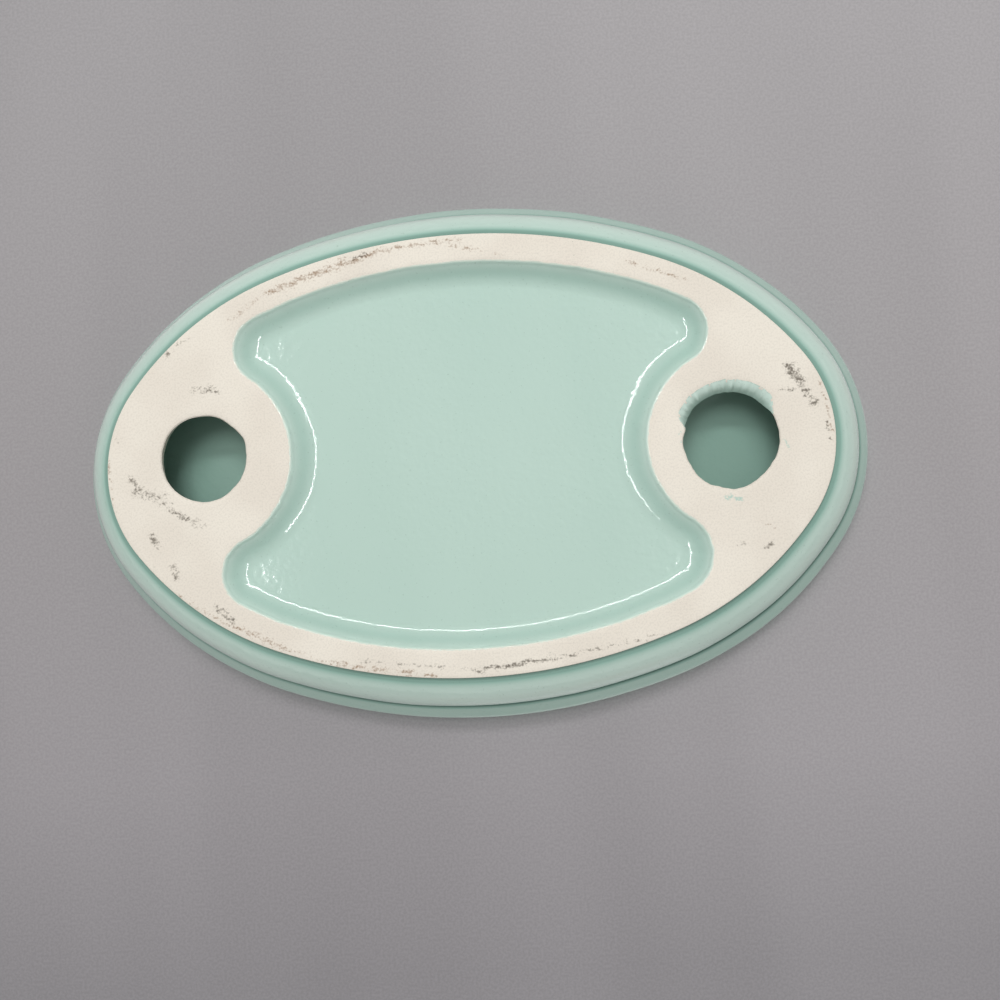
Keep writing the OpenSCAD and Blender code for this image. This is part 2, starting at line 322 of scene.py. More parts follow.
def new_object(name: str, data: bpy.types.ID) -> Item:
    """A new object of the scene."""
    item = bpy.data.objects.new(name, data)
    bpy.context.scene.collection.objects.link(item)
    return item


class Book:
    """Collects grids and patches of points, and welds them into one closed mesh."""

    def __init__(self, *tints: str) -> None:
        """Starts an empty book whose points carry the named numbers."""
        self.points: list[Array] = []
        self.tints: dict[str, list[Array]] = {name: [] for name in tints}
        self.faces: list[list[int]] = []
        self.count = 0

    def _take(self, points: Array, tints: dict[str, Array | float]) -> int:
        """Adds points with their numbers, and returns the first one's index."""
        first = self.count
        self.points.append(points)
        for name, kept in self.tints.items():
            kept.append(np.broadcast_to(tints.get(name, 0.0), len(points)).ravel())
        self.count += len(points)
        return first

    def grid(self, rows: Array, flip: bool = False, **tints: Array | float) -> None:
        """Adds rings of points, each joined to the next.

        Args:
            rows: rings of points, as rows by stations by 3. Seen from outside, the stations
                run to the right where the rows run up.
            flip: whether the faces look the other way.
            tints: numbers for the points, as rows by stations or one for all.
        """
        tall, wide = rows.shape[:2]
        flat = {k: np.broadcast_to(v, (tall, wide)).ravel() for k, v in tints.items()}
        first = self._take(rows.reshape(-1, 3), flat)
        low = first + np.arange(tall - 1)[:, None] * wide
        here, there = np.arange(wide), (np.arange(wide) + 1) % wide
        quads = np.stack([low + here, low + there, low + wide + there, low + wide + here], -1)
        quads = quads.reshape(-1, 4)
        self.faces += (quads[:, ::-1] if flip else quads).tolist()

    def patch(self, points: Array, corners: Array, flip: bool = False,
              **tints: Array | float) -> None:
        """Adds points and triangles that look up, or down where they are flipped."""
        corners = corners + self._take(points, tints)
        self.faces += (corners[:, ::-1] if flip else corners).tolist()

    def make(self, name: str) -> Item:
        """Welds what was added into a mesh, without loose edges or points. Faces that meet at
        more than the crease angle keep a sharp edge between them.

        Args:
            name: name of the new piece.

        Returns:
            The new object, at the origin, with its place in its mesh.
        """
        mesh = bpy.data.meshes.new(name)
        mesh.from_pydata((np.concatenate(self.points) * MM).tolist(), [], self.faces)
        for key, parts in self.tints.items():
            layer = mesh.attributes.new(key, "FLOAT", "POINT")
            layer.data.foreach_set("value", np.concatenate(parts).astype(np.float32))
        work = bmesh.new()
        work.from_mesh(mesh)
        bmesh.ops.remove_doubles(work, verts=work.verts, dist=WELD_MM * MM)
        bmesh.ops.dissolve_degenerate(work, edges=work.edges, dist=WELD_MM * MM / 10)
        stray = [e for e in work.edges if not e.link_faces]
        bmesh.ops.delete(work, geom=stray, context="EDGES")
        loose = [v for v in work.verts if not v.link_faces]
        bmesh.ops.delete(work, geom=loose, context="VERTS")
        work.to_mesh(mesh)
        work.free()
        mesh.shade_smooth()
        mesh.set_sharp_from_angle(angle=math.radians(CREASE))
        return new_object(name, mesh)


def shell(name: str, face: Array, back: Array, pool: Array | float) -> Item:
    """Makes a closed shell of glaze whose two faces meet at their ends.

    Args:
        name: name of the new piece.
        face: rings of the glazed face.
        back: rings of the face against the clay.
        pool: pool level of the glazed face.

    Returns:
        The new object.
    """
    book = Book("pool")
    book.grid(face, flip=True, pool=pool)
    book.grid(back, pool=EVEN)
    return book.make(name)


def batches(points: Array) -> list[Array]:
    """The points in the lots that are measured at once."""
    return np.array_split(points, max(1, len(points) // BATCH))


def inside(points: Array, ring: Array) -> Array:
    """Whether points lie in a closed line: a ray to the right crosses it an odd number of times."""
    a, b = ring, np.roll(ring, -1, axis=0)
    x, y = points[:, :1], points[:, 1:]
    spans = (a[:, 1] > y) != (b[:, 1] > y)
    rise = np.where(b[:, 1] == a[:, 1], 1.0, b[:, 1] - a[:, 1])
    cross_x = a[:, 0] + (y - a[:, 1]) * (b[:, 0] - a[:, 0]) / rise
    return (spans & (x < cross_x)).sum(axis=1) % 2 == 1


def distance_outside(points: Array, ring: Array) -> Array:
    """Distance of points from a closed line, to the nearest place on any of its chords. It is
    negative inside the line."""
    run = np.roll(ring, -1, axis=0) - ring
    parts = []
    for some in batches(points):
        away = some[:, None] - ring
        share = np.clip((away * run).sum(axis=-1) / (run * run).sum(axis=-1), 0.0, 1.0)
        gap = np.linalg.norm(away - share[..., None] * run, axis=-1).min(axis=1)
        parts.append(np.where(inside(some, ring), -gap, gap))
    return np.concatenate(parts)


def filled(rings: list[Array], step: float, clear_share: float = 0.55) -> tuple[Array, Array]:
    """Covers a flat region with small triangles that keep the rings as its edges.

    Points on a triangle lattice fill the region between the rings, and a constrained
    triangulation joins them to the rings.

    Args:
        rings: closed lines. The first is the outer edge, and the others are holes in it.
        step: distance between the lattice points.
        clear_share: share of the step that the lattice points keep from the rings.

    Returns:
        The points, and the corners of the triangles, counterclockwise.
    """
    edge = np.concatenate(rings)
    low, high = rings[0].min(axis=0), rings[0].max(axis=0)
    x, y = np.meshgrid(np.arange(low[0], high[0], step),
                       np.arange(low[1], high[1], step * math.sqrt(3) / 2))
    x[::2] += step / 2

    def within(p: Array) -> Array:
        """Whether points lie in the region."""
        kept = inside(p, rings[0])
        for ring in rings[1:]:
            kept &= ~inside(p, ring)
        return kept

    lattice = np.stack([x.ravel(), y.ravel()], axis=-1)
    lattice = lattice[within(lattice)]
    near = np.concatenate([np.min(np.linalg.norm(part[:, None] - edge, axis=-1), axis=1)
                           for part in batches(lattice)])
    points = np.concatenate([edge, lattice[near > clear_share * step]])
    links, first = [], 0
    for ring in rings:
        index = first + np.arange(len(ring))
        links += np.stack([index, np.roll(index, -1)], axis=-1).tolist()
        first += len(ring)
    out = delaunay_2d_cdt(points.tolist(), links, [], 0, 1e-7, False)
    flat = np.array([tuple(p) for p in out[0]])
    corners = np.array(out[2])
    corners = corners[within(flat[corners].mean(axis=1))]
    a, b, c = (flat[corners[:, k]] for k in range(3))
    turn = (b - a)[:, 0] * (c - a)[:, 1] - (b - a)[:, 1] * (c - a)[:, 0]
    corners[turn < 0] = corners[turn < 0][:, ::-1]
    return flat, corners


def lifted(points: Array, height: Array | float) -> Array:
    """Plane points with a height."""
    tall = np.broadcast_to(height, points.shape[:-1])
    return np.concatenate([points, tall[..., None]], axis=-1)


def surface_normals(rows: Array) -> Array:
    """Normals of a grid of rings: the cross product of its two differences. The last ring lies
    on a line in the middle, and its normals look up."""
    across = np.roll(rows, -1, axis=1) - np.roll(rows, 1, axis=1)
    normals = unit(np.cross(across, np.gradient(rows, axis=0)))
    normals[-1] = (0.0, 0.0, 1.0)
    return normals


def eased(points: Array, step: float, radius: float) -> Array:
    """A line cut into equal steps, with its corners eased by a bell of the given radius."""
    run = np.concatenate([[0.0], np.cumsum(np.linalg.norm(np.diff(points, axis=0), axis=1))])
    at = np.linspace(0.0, run[-1], round(run[-1] / step) + 1)
    even = np.stack([np.interp(at, run, points[:, k]) for k in range(2)], axis=-1)
    return blurred(even, radius / step, closed=False)


def thinned(points: Array, count: int, length: float, turn: float) -> Array:
    """Picks points of a fine line so that bends keep more of them.

    Args:
        points: the fine line.
        count: how many points are kept.
        length: a straight run of this length weighs as much as the next turn.
        turn: degrees of turning that weigh as much as that run.

    Returns:
        The points that are kept.
    """
    step = np.diff(points, axis=0)
    way = np.degrees(np.unwrap(np.arctan2(step[:, 1], step[:, 0])))
    bend = np.abs(np.concatenate([[0.0], np.diff(way)]))
    weight = np.linalg.norm(step, axis=1) / length + bend / turn
    run = np.concatenate([[0.0], np.cumsum(weight)])
    at = np.linspace(0.0, run[-1], count)
    return points[np.unique(np.round(np.interp(at, run, np.arange(len(points)))).astype(int))]


def hollowness(rows: Array, normals: Array, width: float, least: float = 0.2) -> Array:
    """Curvature of each cross-section: how far a blurred copy of it stands out in front of the
    surface, over the square of the blur's reach.

    Args:
        rows: rings of points, whose cross-sections run along axis 0.
        normals: the normal at each point.
        width: width of the blur, in rows.
        least: least reach of the blur, in millimetres.

    Returns:
        A number for each point. Hollows count up and edges count down.
    """
    stand_out = ((blurred(rows, width, closed=False) - rows) * normals).sum(axis=-1)
    step = np.linalg.norm(np.gradient(rows, axis=0), axis=-1)
    reach = np.maximum(blurred(step, width, closed=False) * width, least)
    return blurred(2 * stand_out / reach**2, 1.0, closed=False)


@dataclass(frozen=True)
class Moulding:
    """Cross-section of the outer moulding and the rim, as distance out and height. Its pools
    say where glaze ran together, or ran off where they are negative, and they also carry painted
    shade in the cove, past the groove and on the roll, and painted light on the band."""

    bare_h: float = 0.3
    step_h: float = 1.1
    step_w: float = 0.7
    band_top_h: float = 7.5
    band_out: float = 6.1
    band_bulge: float = 0.9
    groove_r: float = 0.65
    groove_start: float = 244.0
    groove_end: float = 100.0
    lip_r: float = 3.1
    lip_out: float = 6.15
    lip_h: float = 13.7
    floor_h: float = 7.0
    fillet_r: float = 6.0
    ease_r: float = 0.16
    fine_step: float = 0.05
    arc_step: float = 2.0
    rows: int = 50
    row_length: float = 0.62
    row_turn: float = 13.0
    # Darker glaze in the cove over the step: glaze that ran together there, and partly painted
    # shade.
    corner_pool_and_shade: Bell = Bell(0.42, 1.0)
    # Darker glaze on the flank just past the groove: glaze that ran together, and partly painted
    # shade.
    groove_pool_and_shade: Bell = Bell(0.75, 1.1)
    groove_pool_and_shade_out: float = 0.85
    groove_pool_and_shade_way: float = 75.0
    # Paler glaze over the band: glaze that ran thin on its curve, and partly painted light.
    band_thin_and_painted_light: Bell = Bell(-0.26, 2.7)
    band_thin_and_painted_light_share: float = 0.62
    # Darker glaze on the roll's outer side: painted shade.
    roll_painted_shade: Bell = Bell(0.08, 1.8)
    roll_painted_shade_way: float = -40.0

    @property
    def step(self) -> Array:
        """Outer edge of the low step over the foot, where the band starts."""
        return np.array([self.step_w, self.step_h])

    @property
    def band_top(self) -> Array:
        """Upper edge of the band."""
        return np.array([self.band_out, self.band_top_h])

    @property
    def lip(self) -> Array:
        """Middle of the lip roll."""
        return np.array([self.lip_out, self.lip_h])

    def arc(self, centre: Array, radius: float, start: float, end: float) -> Array:
        """Points of an arc of the cross-section."""
        step = math.copysign(self.arc_step, end - start)
        return centre + radius * ray(np.arange(start, end, step))

    def outer(self) -> Array:
        """The line from the foot up to the top of the lip: a low step, the wide rounded band,
        the groove, the flank and the roll."""
        run = self.band_top - self.step
        chord = float(np.linalg.norm(run))
        band_r = chord**2 / (8 * self.band_bulge) + self.band_bulge / 2
        across = np.array([-run[1], run[0]]) / chord
        band_c = (self.step + self.band_top) / 2 + (band_r - self.band_bulge) * across
        groove = self.band_top + self.groove_r * np.array([0.5, 1.0])
        flank = groove + self.groove_r * ray(self.groove_end)
        away = flank - self.lip
        touch = heading(away) + math.degrees(math.acos(self.lip_r / np.linalg.norm(away)))
        return np.concatenate([
            np.array([[0.0, self.bare_h], [0.0, self.step_h]]),
            self.arc(band_c, band_r, heading(self.step - band_c), heading(self.band_top - band_c)),
            self.arc(groove, self.groove_r, self.groove_start, self.groove_end),
            self.arc(self.lip, self.lip_r, touch, 90.0),
            np.array([[self.lip_out, self.lip_h + self.lip_r]]),
        ])

    def pools_and_painted_light(self, line: Array) -> Array:
        """How much darker or paler the glaze is along the line: darker in the corner over the step
        and past the groove, where glaze ran together and painted shade is added, paler on the band,
        where glaze ran thin and painted light is added, and darker on the roll, which is painted
        shade.

        Args:
            line: points of the cross-section.

        Returns:
            What is added to the pool level of each point.
        """
        groove = self.band_top + self.groove_pool_and_shade_out * ray(self.groove_pool_and_shade_way)
        roll = self.lip + self.lip_r * ray(self.roll_painted_shade_way)
        pools = ((self.corner_pool_and_shade, self.step), (self.groove_pool_and_shade, groove),
                 (self.band_thin_and_painted_light, self.band_top * self.band_thin_and_painted_light_share), (self.roll_painted_shade, roll))
        return sum(pool.at(np.linalg.norm(line - place, axis=1)) for pool, place in pools)

    def rim_height(self, out: float) -> float:
        """Height inside the top of the lip: the roll, then a slope of one in one that touches
        it, then a hollow arc that runs out into the floor.

        Args:
            out: distance out from the foot's edge.

        Returns:
            The height over the foot face.
        """
        half = math.sqrt(0.5)
        touch = self.lip + self.lip_r * np.array([-half, half])
        if out > touch[0]:
            return self.lip_h + math.sqrt(self.lip_r**2 - (out - self.lip_out) ** 2)
        hollow_out = touch[0] - (touch[1] - self.floor_h) - self.fillet_r * math.tan(math.pi / 8)
        if out > hollow_out + self.fillet_r * half:
            return touch[1] - (touch[0] - out)
        rise = max(out - hollow_out, 0.0)
        return self.floor_h + self.fillet_r - math.sqrt(self.fillet_r**2 - rise**2)


@dataclass(frozen=True)
class Platform:
    """A raised end: a leaning round front and two leaning corners, under one shallow dome."""

    boss: Point
    crown_h: float = 17.4
    dome_r: float = 150.0
    front_top_r: float = 13.6
    front_foot_r: float = 19.4
    corner_top_r: float = 9.5
    slab_out: float = 4.35
    edge_w: float = 1.6
    spacing: float = 0.6

    def corner(self, oval: FootOutline, sy: float) -> Array:
        """Centre of a basin corner."""
        return oval.corner(np.array(self.boss), self.front_top_r, self.corner_top_r,
                           -self.slab_out, sy)

    def top_edge(self, oval: FootOutline) -> Array:
        """The closed line of the upper edge: behind, the oval drawn out under the lip, and in
        front the boss's arc between two hollow corners that touch both.

        Args:
            oval: the foot's outline.

        Returns:
            The points of the line.
        """
        boss, step = np.array(self.boss), self.spacing
        sx = math.copysign(1.0, boss[0])
        e = np.array(oval.end_turn_shares)
        near, far = e * np.array([sx, -sx]), e * np.array([sx, sx])
        first, last = self.corner(oval, sx), self.corner(oval, -sx)
        first_hub, last_hub = oval.shoulder_of(sx, sx), oval.shoulder_of(sx, -sx)
        back_r = oval.shoulder_r + self.slab_out
        return chain([
            Arc(last_hub, back_r, last - last_hub, near, step),
            Arc(oval.end * sx, oval.end_r + self.slab_out, near, far, step),
            Arc(first_hub, back_r, far, first - first_hub, step),
            Arc(first, self.corner_top_r, first - first_hub, boss - first, step, True),
            Arc(boss, self.front_top_r, first - boss, last - boss, step),
            Arc(last, self.corner_top_r, boss - last, last - last_hub, step, True),
        ]).points

    def height(self, p: Array, oval: FootOutline, floor_h: float) -> Array:
        """Height of the raised end over plane points: the lower of the dome and of a slope that
        falls away on all sides from the upper edge's line, with the edge between them rounded.

        Args:
            p: plane points.
            oval: the foot's outline.
            floor_h: height of the basin's floor.

        Returns:
            The height over each point.
        """
        boss = np.array(self.boss)
        slope = (self.crown_h - floor_h) / (self.front_foot_r - self.front_top_r)
        dome = self.crown_h - ((p - boss) ** 2).sum(axis=-1) / (2 * self.dome_r)
        out = np.full(len(p), 2 * self.front_foot_r)
        close = np.abs(p[:, 0] - boss[0]) < out
        out[close] = distance_outside(p[close], self.top_edge(oval))
        return soft_min(dome, self.crown_h - slope * out, self.edge_w)


@dataclass(frozen=True)
class Ribs:
    """Low round-ended ribs across the basin, which lift the soap."""

    count: int = 5
    pitch: float = 9.0
    width: float = 3.2
    tall: float = 1.3
    margin: float = 9.0

    def height(self, p: Array, oval: FootOutline, floor_h: float) -> Array:
        """Height of the ribs over plane points: a round bar with ball ends, sunk in the floor.

        Args:
            p: plane points.
            oval: the foot's outline, whose long sides the ribs keep clear of.
            floor_h: height of the basin's floor.

        Returns:
            The height over each point, which is under the floor away from the ribs.
        """
        bar_r = (self.width**2 / 4 + self.tall**2) / (2 * self.tall)
        best = np.full(p.shape[:-1], floor_h - bar_r)
        for i in range(self.count):
            x = (i - (self.count - 1) / 2) * self.pitch
            half = oval.side[1] + math.sqrt((oval.side_r - FOOT_W) ** 2 - x**2) - self.margin
            past = np.maximum(np.abs(p[..., 1]) - half, 0.0)
            away = (p[..., 0] - x) ** 2 + past**2
            top = floor_h + self.tall - bar_r + np.sqrt(np.maximum(bar_r**2 - away, 0.0))
            best = np.maximum(best, top)
        return best


@dataclass
class OuterCoat:
    """The glaze over the moulding, the rim, the basin and both raised ends."""

    oval: FootOutline
    moulding: Moulding = Moulding()
    platforms: tuple[Platform, Platform] = (Platform((-50.5, -2.1)), Platform((50.0, 0.3)))
    ribs: Ribs = Ribs()
    ring_w: float = 12.0
    ring_rows: int = 30
    core_rows: int = 54
    spine_x: float = 44.0
    side_step: float = 0.46
    end_step: float = 0.78
    rib_blend: float = 0.7
    foot_blend: float = 2.4
    # Glaze darker in hollows and paler on edges, by the curvature: glaze that ran together or ran
    # off, and partly painted shade in the hollows.
    hollow_pool_and_shade_mm: float = 0.6
    hollow_pool_and_shade_most: float = 0.4
    hollow_pool_and_shade_rows: float = 2.0
    swells: Swells = ((0.05, 19.0, 3), (0.05 / 3, 6.0, 4))
    under_every: int = 5
    loop: Loop = field(init=False)
    skin: Array = field(init=False)
    under: Array = field(init=False)
    pool: Array = field(init=False)

    def __post_init__(self) -> None:
        """Works out both faces of the coat."""
        self.loop = self.oval.loop(self.side_step, self.end_step)
        self.skin, self.pool = self._skin()
        self.under = self._under()

    def _skin(self) -> tuple[Array, Array]:
        """The glazed surface: the moulding's line carried round the oval, then straight lines
        from the lip down the rim and on to a short spine in the middle of the basin. There the
        height is the highest of the rim, the floor, the ribs and the raised ends.

        Returns:
            Rings of points, and the pool level of each point.
        """
        m = self.moulding
        fine = eased(m.outer(), m.fine_step, m.ease_r)
        line = thinned(fine, m.rows, m.row_length, m.row_turn)[:-1]
        rings = [lifted(self.loop.moved(out), z) for out, z in line]
        for out in np.linspace(m.lip_out, -self.ring_w, self.ring_rows):
            rings.append(self._top(self.loop.moved(out), m.rim_height(out)))
        foot = self.loop.moved(-self.ring_w)
        spine_x = np.clip(foot[:, 0], -self.spine_x, self.spine_x)
        spine = np.stack([spine_x, np.zeros(len(foot))], axis=-1)
        for share in np.arange(1, self.core_rows + 1) / self.core_rows:
            rings.append(self._top(foot + share * (spine - foot), m.floor_h))
        rows = np.array(rings)
        normals = surface_normals(rows)
        # Darker in hollows and paler on edges: glaze that ran, and partly painted shade.
        hollow = np.tanh(self.hollow_pool_and_shade_mm * hollowness(rows, normals, self.hollow_pool_and_shade_rows))
        pool = EVEN + self.hollow_pool_and_shade_most * hollow
        # The moulding's rows take the cross-section's pools, which hold painted shade and painted
        # light as well as glaze that ran.
        pool[: len(line)] += m.pools_and_painted_light(line)[:, None]
        lump = swelled(rows, self.swells) * smooth((rows[..., 2] - m.bare_h) / m.step_h)
        return rows + lump[..., None] * normals, np.clip(pool, 0.0, 1.0)

    def _top(self, p: Array, rim: float) -> Array:
        """Plane points inside the lip, lifted to the surface. The rim is its height there
        without ribs and raised ends."""
        floor_h = self.moulding.floor_h
        best = soft_max(rim, self.ribs.height(p, self.oval, floor_h), self.rib_blend)
        for platform in self.platforms:
            best = soft_max(best, platform.height(p, self.oval, floor_h), self.foot_blend)
        return lifted(p, best)

    def _under(self) -> Array:
        """The face against the clay: every fifth ring, moved back by the glaze's thickness."""
        back = self.skin - GLAZE_T * surface_normals(self.skin)
        first = lifted(self.loop.moved(-GLAZE_T), self.moulding.bare_h)
        kept = np.arange(self.under_every, len(back) - 1, self.under_every)
        kept = kept[back[kept, :, 2].min(axis=1) > self.moulding.bare_h + GLAZE_T / 4]
        return np.concatenate([first[None], back[kept], back[-1:]])

    def build(self) -> Item:
        """Makes the coat as a closed shell."""
        book = Book("pool")
        book.grid(self.skin, pool=self.pool)
        book.grid(np.stack([self.under[0], self.skin[0]]), pool=EVEN)
        book.grid(self.under, flip=True, pool=EVEN)
        return book.make("outer_glaze_coat")


@dataclass
class Recess:
    """The shallow glazed recess under the basin, between the two round bosses. A pair of sizes
    is for the left and the right, or for the side with negative Y and the other one. The floor's
    steps are for its glazed face and for the one behind."""

    oval: FootOutline
    bosses: tuple[Point, Point] = ((-50.56, -2.12), (50.03, 0.27))
    boss_radii: Point = (18.04, 17.35)
    tips: tuple[Point, Point] = ((6.2, 6.3), (6.2, 7.3))
    walls_x: Point = (5.3, 6.1)
    walls_y: Point = (4.0, 3.8)
    wall_ease: float = 5.0
    tip_share: float = 0.72
    deep: float = 3.0
    step: float = 0.45
    rows: int = 30
    row_power: float = 1.25
    foot_power: float = 2.0
    brow_start: float = 0.02
    brow_share: float = 0.16
    floor_steps: Point = (1.0, 2.5)
    edge_swells: Swells = ((0.07, 9.0, 11), (0.05, 2.6, 12))
    floor_swells: Swells = ((0.02, 22.0, 5), (0.02 / 3, 7.0, 6))
    # Darker glaze in a band part way down the wall: glaze that ran together, and partly painted
    # shade.
    wall_pool_and_shade: Bell = Bell(0.09, 0.24)
    wall_pool_and_shade_share: float = 0.4
    thin_w: float = 0.5
    back_share: float = 0.25
    loop: Loop = field(init=False)
    wall_w: Array = field(init=False)

    def __post_init__(self) -> None:
        """Works out the edge of the recess and the width of its wall."""
        self.loop, tips = self._edge()
        n = self.loop.normals
        along = np.where(n[:, 0] < 0, *self.walls_x)
        across = np.where(n[:, 1] < 0, *self.walls_y)
        width = n[:, 0] ** 2 * along + n[:, 1] ** 2 * across
        width = np.where(tips > 0, np.minimum(width, self.tip_share * tips), width)
        self.wall_w = blurred(width, self.wall_ease / self.step, closed=True)
        self.loop = Loop(self.loop.moved(swelled(self.loop.points, self.edge_swells)), n)

    def _edge(self) -> tuple[Loop, Array]:
        """The edge: the oval drawn in by the foot's width, the two bosses as hollow arcs, and
        four round corners that touch both.

        Returns:
            The closed line, and for each of its points the corner's radius on the corners and
            zero elsewhere.
        """
        o, arcs, radii = self.oval, [], []
        s = np.array(o.side_turn_shares)
        shoulder_r, side_r = o.shoulder_r - FOOT_W, o.side_r - FOOT_W

        def add_arc(arc: Arc, tip: float = 0.0) -> None:
            """Adds an arc and notes whether it is a corner."""
            arcs.append(arc)
            radii.append(np.full(len(arc.stations()[0]), tip))

        for sx, sy in ((1, 1), (-1, -1)):
            ends = {}
            for side in (sx, -sx):
                boss, boss_r = np.array(self.bosses[side > 0]), self.boss_radii[side > 0]
                tip_r = self.tips[side > 0][sy > 0]
                c = o.corner(boss, boss_r, tip_r, FOOT_W, sy)
                ends[side] = (boss, boss_r, c, tip_r, c - o.shoulder_of(side, sy))
            boss, boss_r, c, tip_r, way = ends[sx]
            add_arc(Arc(c, tip_r, boss - c, way, self.step), tip_r)
            near, far = s * np.array([sx, sy]), s * np.array([-sx, sy])
            add_arc(Arc(o.shoulder_of(sx, sy), shoulder_r, way, near, self.step))
            add_arc(Arc(o.side * sy, side_r, near, far, self.step))
            boss, boss_r, c, tip_r, way = ends[-sx]
            add_arc(Arc(o.shoulder_of(-sx, sy), shoulder_r, far, way, self.step))
            add_arc(Arc(c, tip_r, way, boss - c, self.step), tip_r)
            other = o.corner(boss, boss_r, self.tips[-sx > 0][-sy > 0], FOOT_W, -sy)
            add_arc(Arc(boss, boss_r, c - boss, other - boss, self.step, True))
        return chain(arcs), np.concatenate(radii)

    @property
    def clay_edge(self) -> Array:
        """The line where the glaze ends on the foot face."""
        return self.loop.moved(GLAZE_T)

    @property
    def shares(self) -> Array:
        """How far down the wall each of its rings lies. They are closer near the upper edge."""
        return np.linspace(0.0, 1.0, self.rows) ** self.row_power

    def wall(self, behind: bool) -> Array:
        """Rings of the wall, from the foot face to the recess floor. The height is one less a
        power of what is left of the width, so that the foot is wide, times a short smooth step
        that rounds the upper edge.

        Args:
            behind: whether it is the face against the clay, one glaze thickness further in.

        Returns:
            Rings of points.
        """
        brow = smooth((self.shares + self.brow_start) / self.brow_share)
        lift = (1.0 - (1.0 - self.shares) ** self.foot_power) * brow
        rings = []
        for u, s in zip(self.shares, lift):
            back = GLAZE_T * math.sin(math.pi * u) if behind else 0.0
            p = self.loop.moved(GLAZE_T + back - (self.wall_w + GLAZE_T) * u)
            z = self.deep * s + swelled(p, self.floor_swells) * s
            thick = GLAZE_T * min(1.0, u / self.back_share) if behind else 0.0
            rings.append(lifted(p, z + thick))
        return np.array(rings)

    def floor(self, behind: bool) -> tuple[Array, Array]:
        """The flat bottom inside the wall: its points, and the corners of its triangles."""
        points, corners = filled([self.loop.moved(-self.wall_w)], self.floor_steps[behind])
        z = self.deep + swelled(points, self.floor_swells) + (GLAZE_T if behind else 0.0)
        return lifted(points, z), corners

    def build(self) -> Item:
        """Makes the coat as a closed shell. The glaze is darker in a band part way down the wall,
        partly where it ran together and partly painted shade, and thin along its upper edge."""
        book = Book("pool")
        share = self.shares[:, None]
        thin = EVEN * np.exp(-share * (self.wall_w + GLAZE_T) / self.thin_w)
        pool = EVEN + self.wall_pool_and_shade.at(share - self.wall_pool_and_shade_share) - thin
        for behind, level in ((False, pool), (True, EVEN)):
            book.grid(self.wall(behind), flip=not behind, pool=level)
            book.patch(*self.floor(behind), flip=not behind, pool=EVEN)
        return book.make("recess_glaze_coat")


@dataclass(frozen=True)
class DrainHole:
    """A hole cut by hand through the foot: its radius at listed headings. The trim is
    a bevel that was cut from its mouth between two headings. The waves of its uneven edges are
    lengths on a circle of radius one."""

    centre: Point
    cuts: tuple[Point, ...]
    seed: int
    ragged: float
    trim_from: float = 0.0
    trim_to: float = 0.0
    trim_w: float = 0.0
    trim_h: float = 0.0
    trim_rise: float = 14.0
    trim_fall: float = 22.0
    trim_ragged: float = 0.12
    trim_wave: float = 0.22
    long_wave: float = 0.35
    short_wave: float = 0.16
    worn_w: float = 0.22
    worn_h: float = 0.25
    wall_rough: float = 0.05
    rough_mm: float = 2.2
    stations: int = 300
    ease_stations: float = 4.0
    flare: float = 1.2
    mouth_power: float = 0.8
    mouth_shares: tuple[float, ...] = (0.12, 0.3, 0.55, 0.8, 1.0)
    wall_shares: tuple[float, ...] = (0.2, 0.4, 0.6, 0.8, 1.0)

    @property
    def turns(self) -> Array:
        """Headings of the stations."""
        return 360.0 * np.arange(self.stations) / self.stations

    @property
    def radius(self) -> Array:
        """Radius at each station: between the chosen ones, eased, with a slight raggedness."""
        turn, r = np.array(sorted(self.cuts)).T
        even = np.interp(self.turns, turn, r, period=360.0)
        even = blurred(even, self.ease_stations, closed=True)
        way = ray(self.turns)
        rough = waves(way, self.long_wave, self.seed) + waves(way, self.short_wave, self.seed + 1)
        return even + self.ragged * rough

    @property
    def trim(self) -> Array:
        """How much of the full bevel each station has, from none to all."""
        if not self.trim_w:
            return np.zeros(self.stations)
        rise = smooth((self.turns - self.trim_from) / self.trim_rise)
        return rise * smooth((self.trim_to - self.turns) / self.trim_fall)

    @property
    def upper_radius(self) -> Array:
        """Radius at the upper side of the sole. The cut leans, so the hole widens inwards."""
        return self.radius + self.flare

    def ring(self, r: Array, z: Array | float) -> Array:
        """Points about the hole's middle at given radii and heights."""
        return lifted(np.array(self.centre) + r[:, None] * ray(self.turns), z)

    @property
    def mouth(self) -> Array:
        """Radius where the hole opens in the foot face."""
        edge = self.trim_ragged * waves(ray(self.turns), self.trim_wave, self.seed + 2)
        return self.radius + self.worn_w + self.trim * (self.trim_w + edge)

    @property
    def trim_top(self) -> Array:
        """Height at which the mouth or its bevel turns into the wall."""
        return self.worn_h + self.trim * self.trim_h

    def throat(self, sole_t: float) -> Array:
        """Rings from the foot face up to the sole's upper side: a rounded mouth or a trimmed
        bevel, then the cut wall, which is rough but for its upper edge.

        Args:
            sole_t: thickness of the sole.

        Returns:
            Rings of points.
        """
        r, mouth, low = self.radius, self.mouth, self.trim_top
        rings = [self.ring(mouth, 0.0)]
        for share in self.mouth_shares:
            rings.append(self.ring(mouth + (r - mouth) * share**self.mouth_power, low * share))
        for share in self.wall_shares:
            z = low + (sole_t - low) * share
            rough = self.wall_rough * waves(self.ring(r, z), self.rough_mm, self.seed + 3)
            rings.append(self.ring(r + self.flare * share + rough * (share < 1.0), z))
        return np.array(rings)


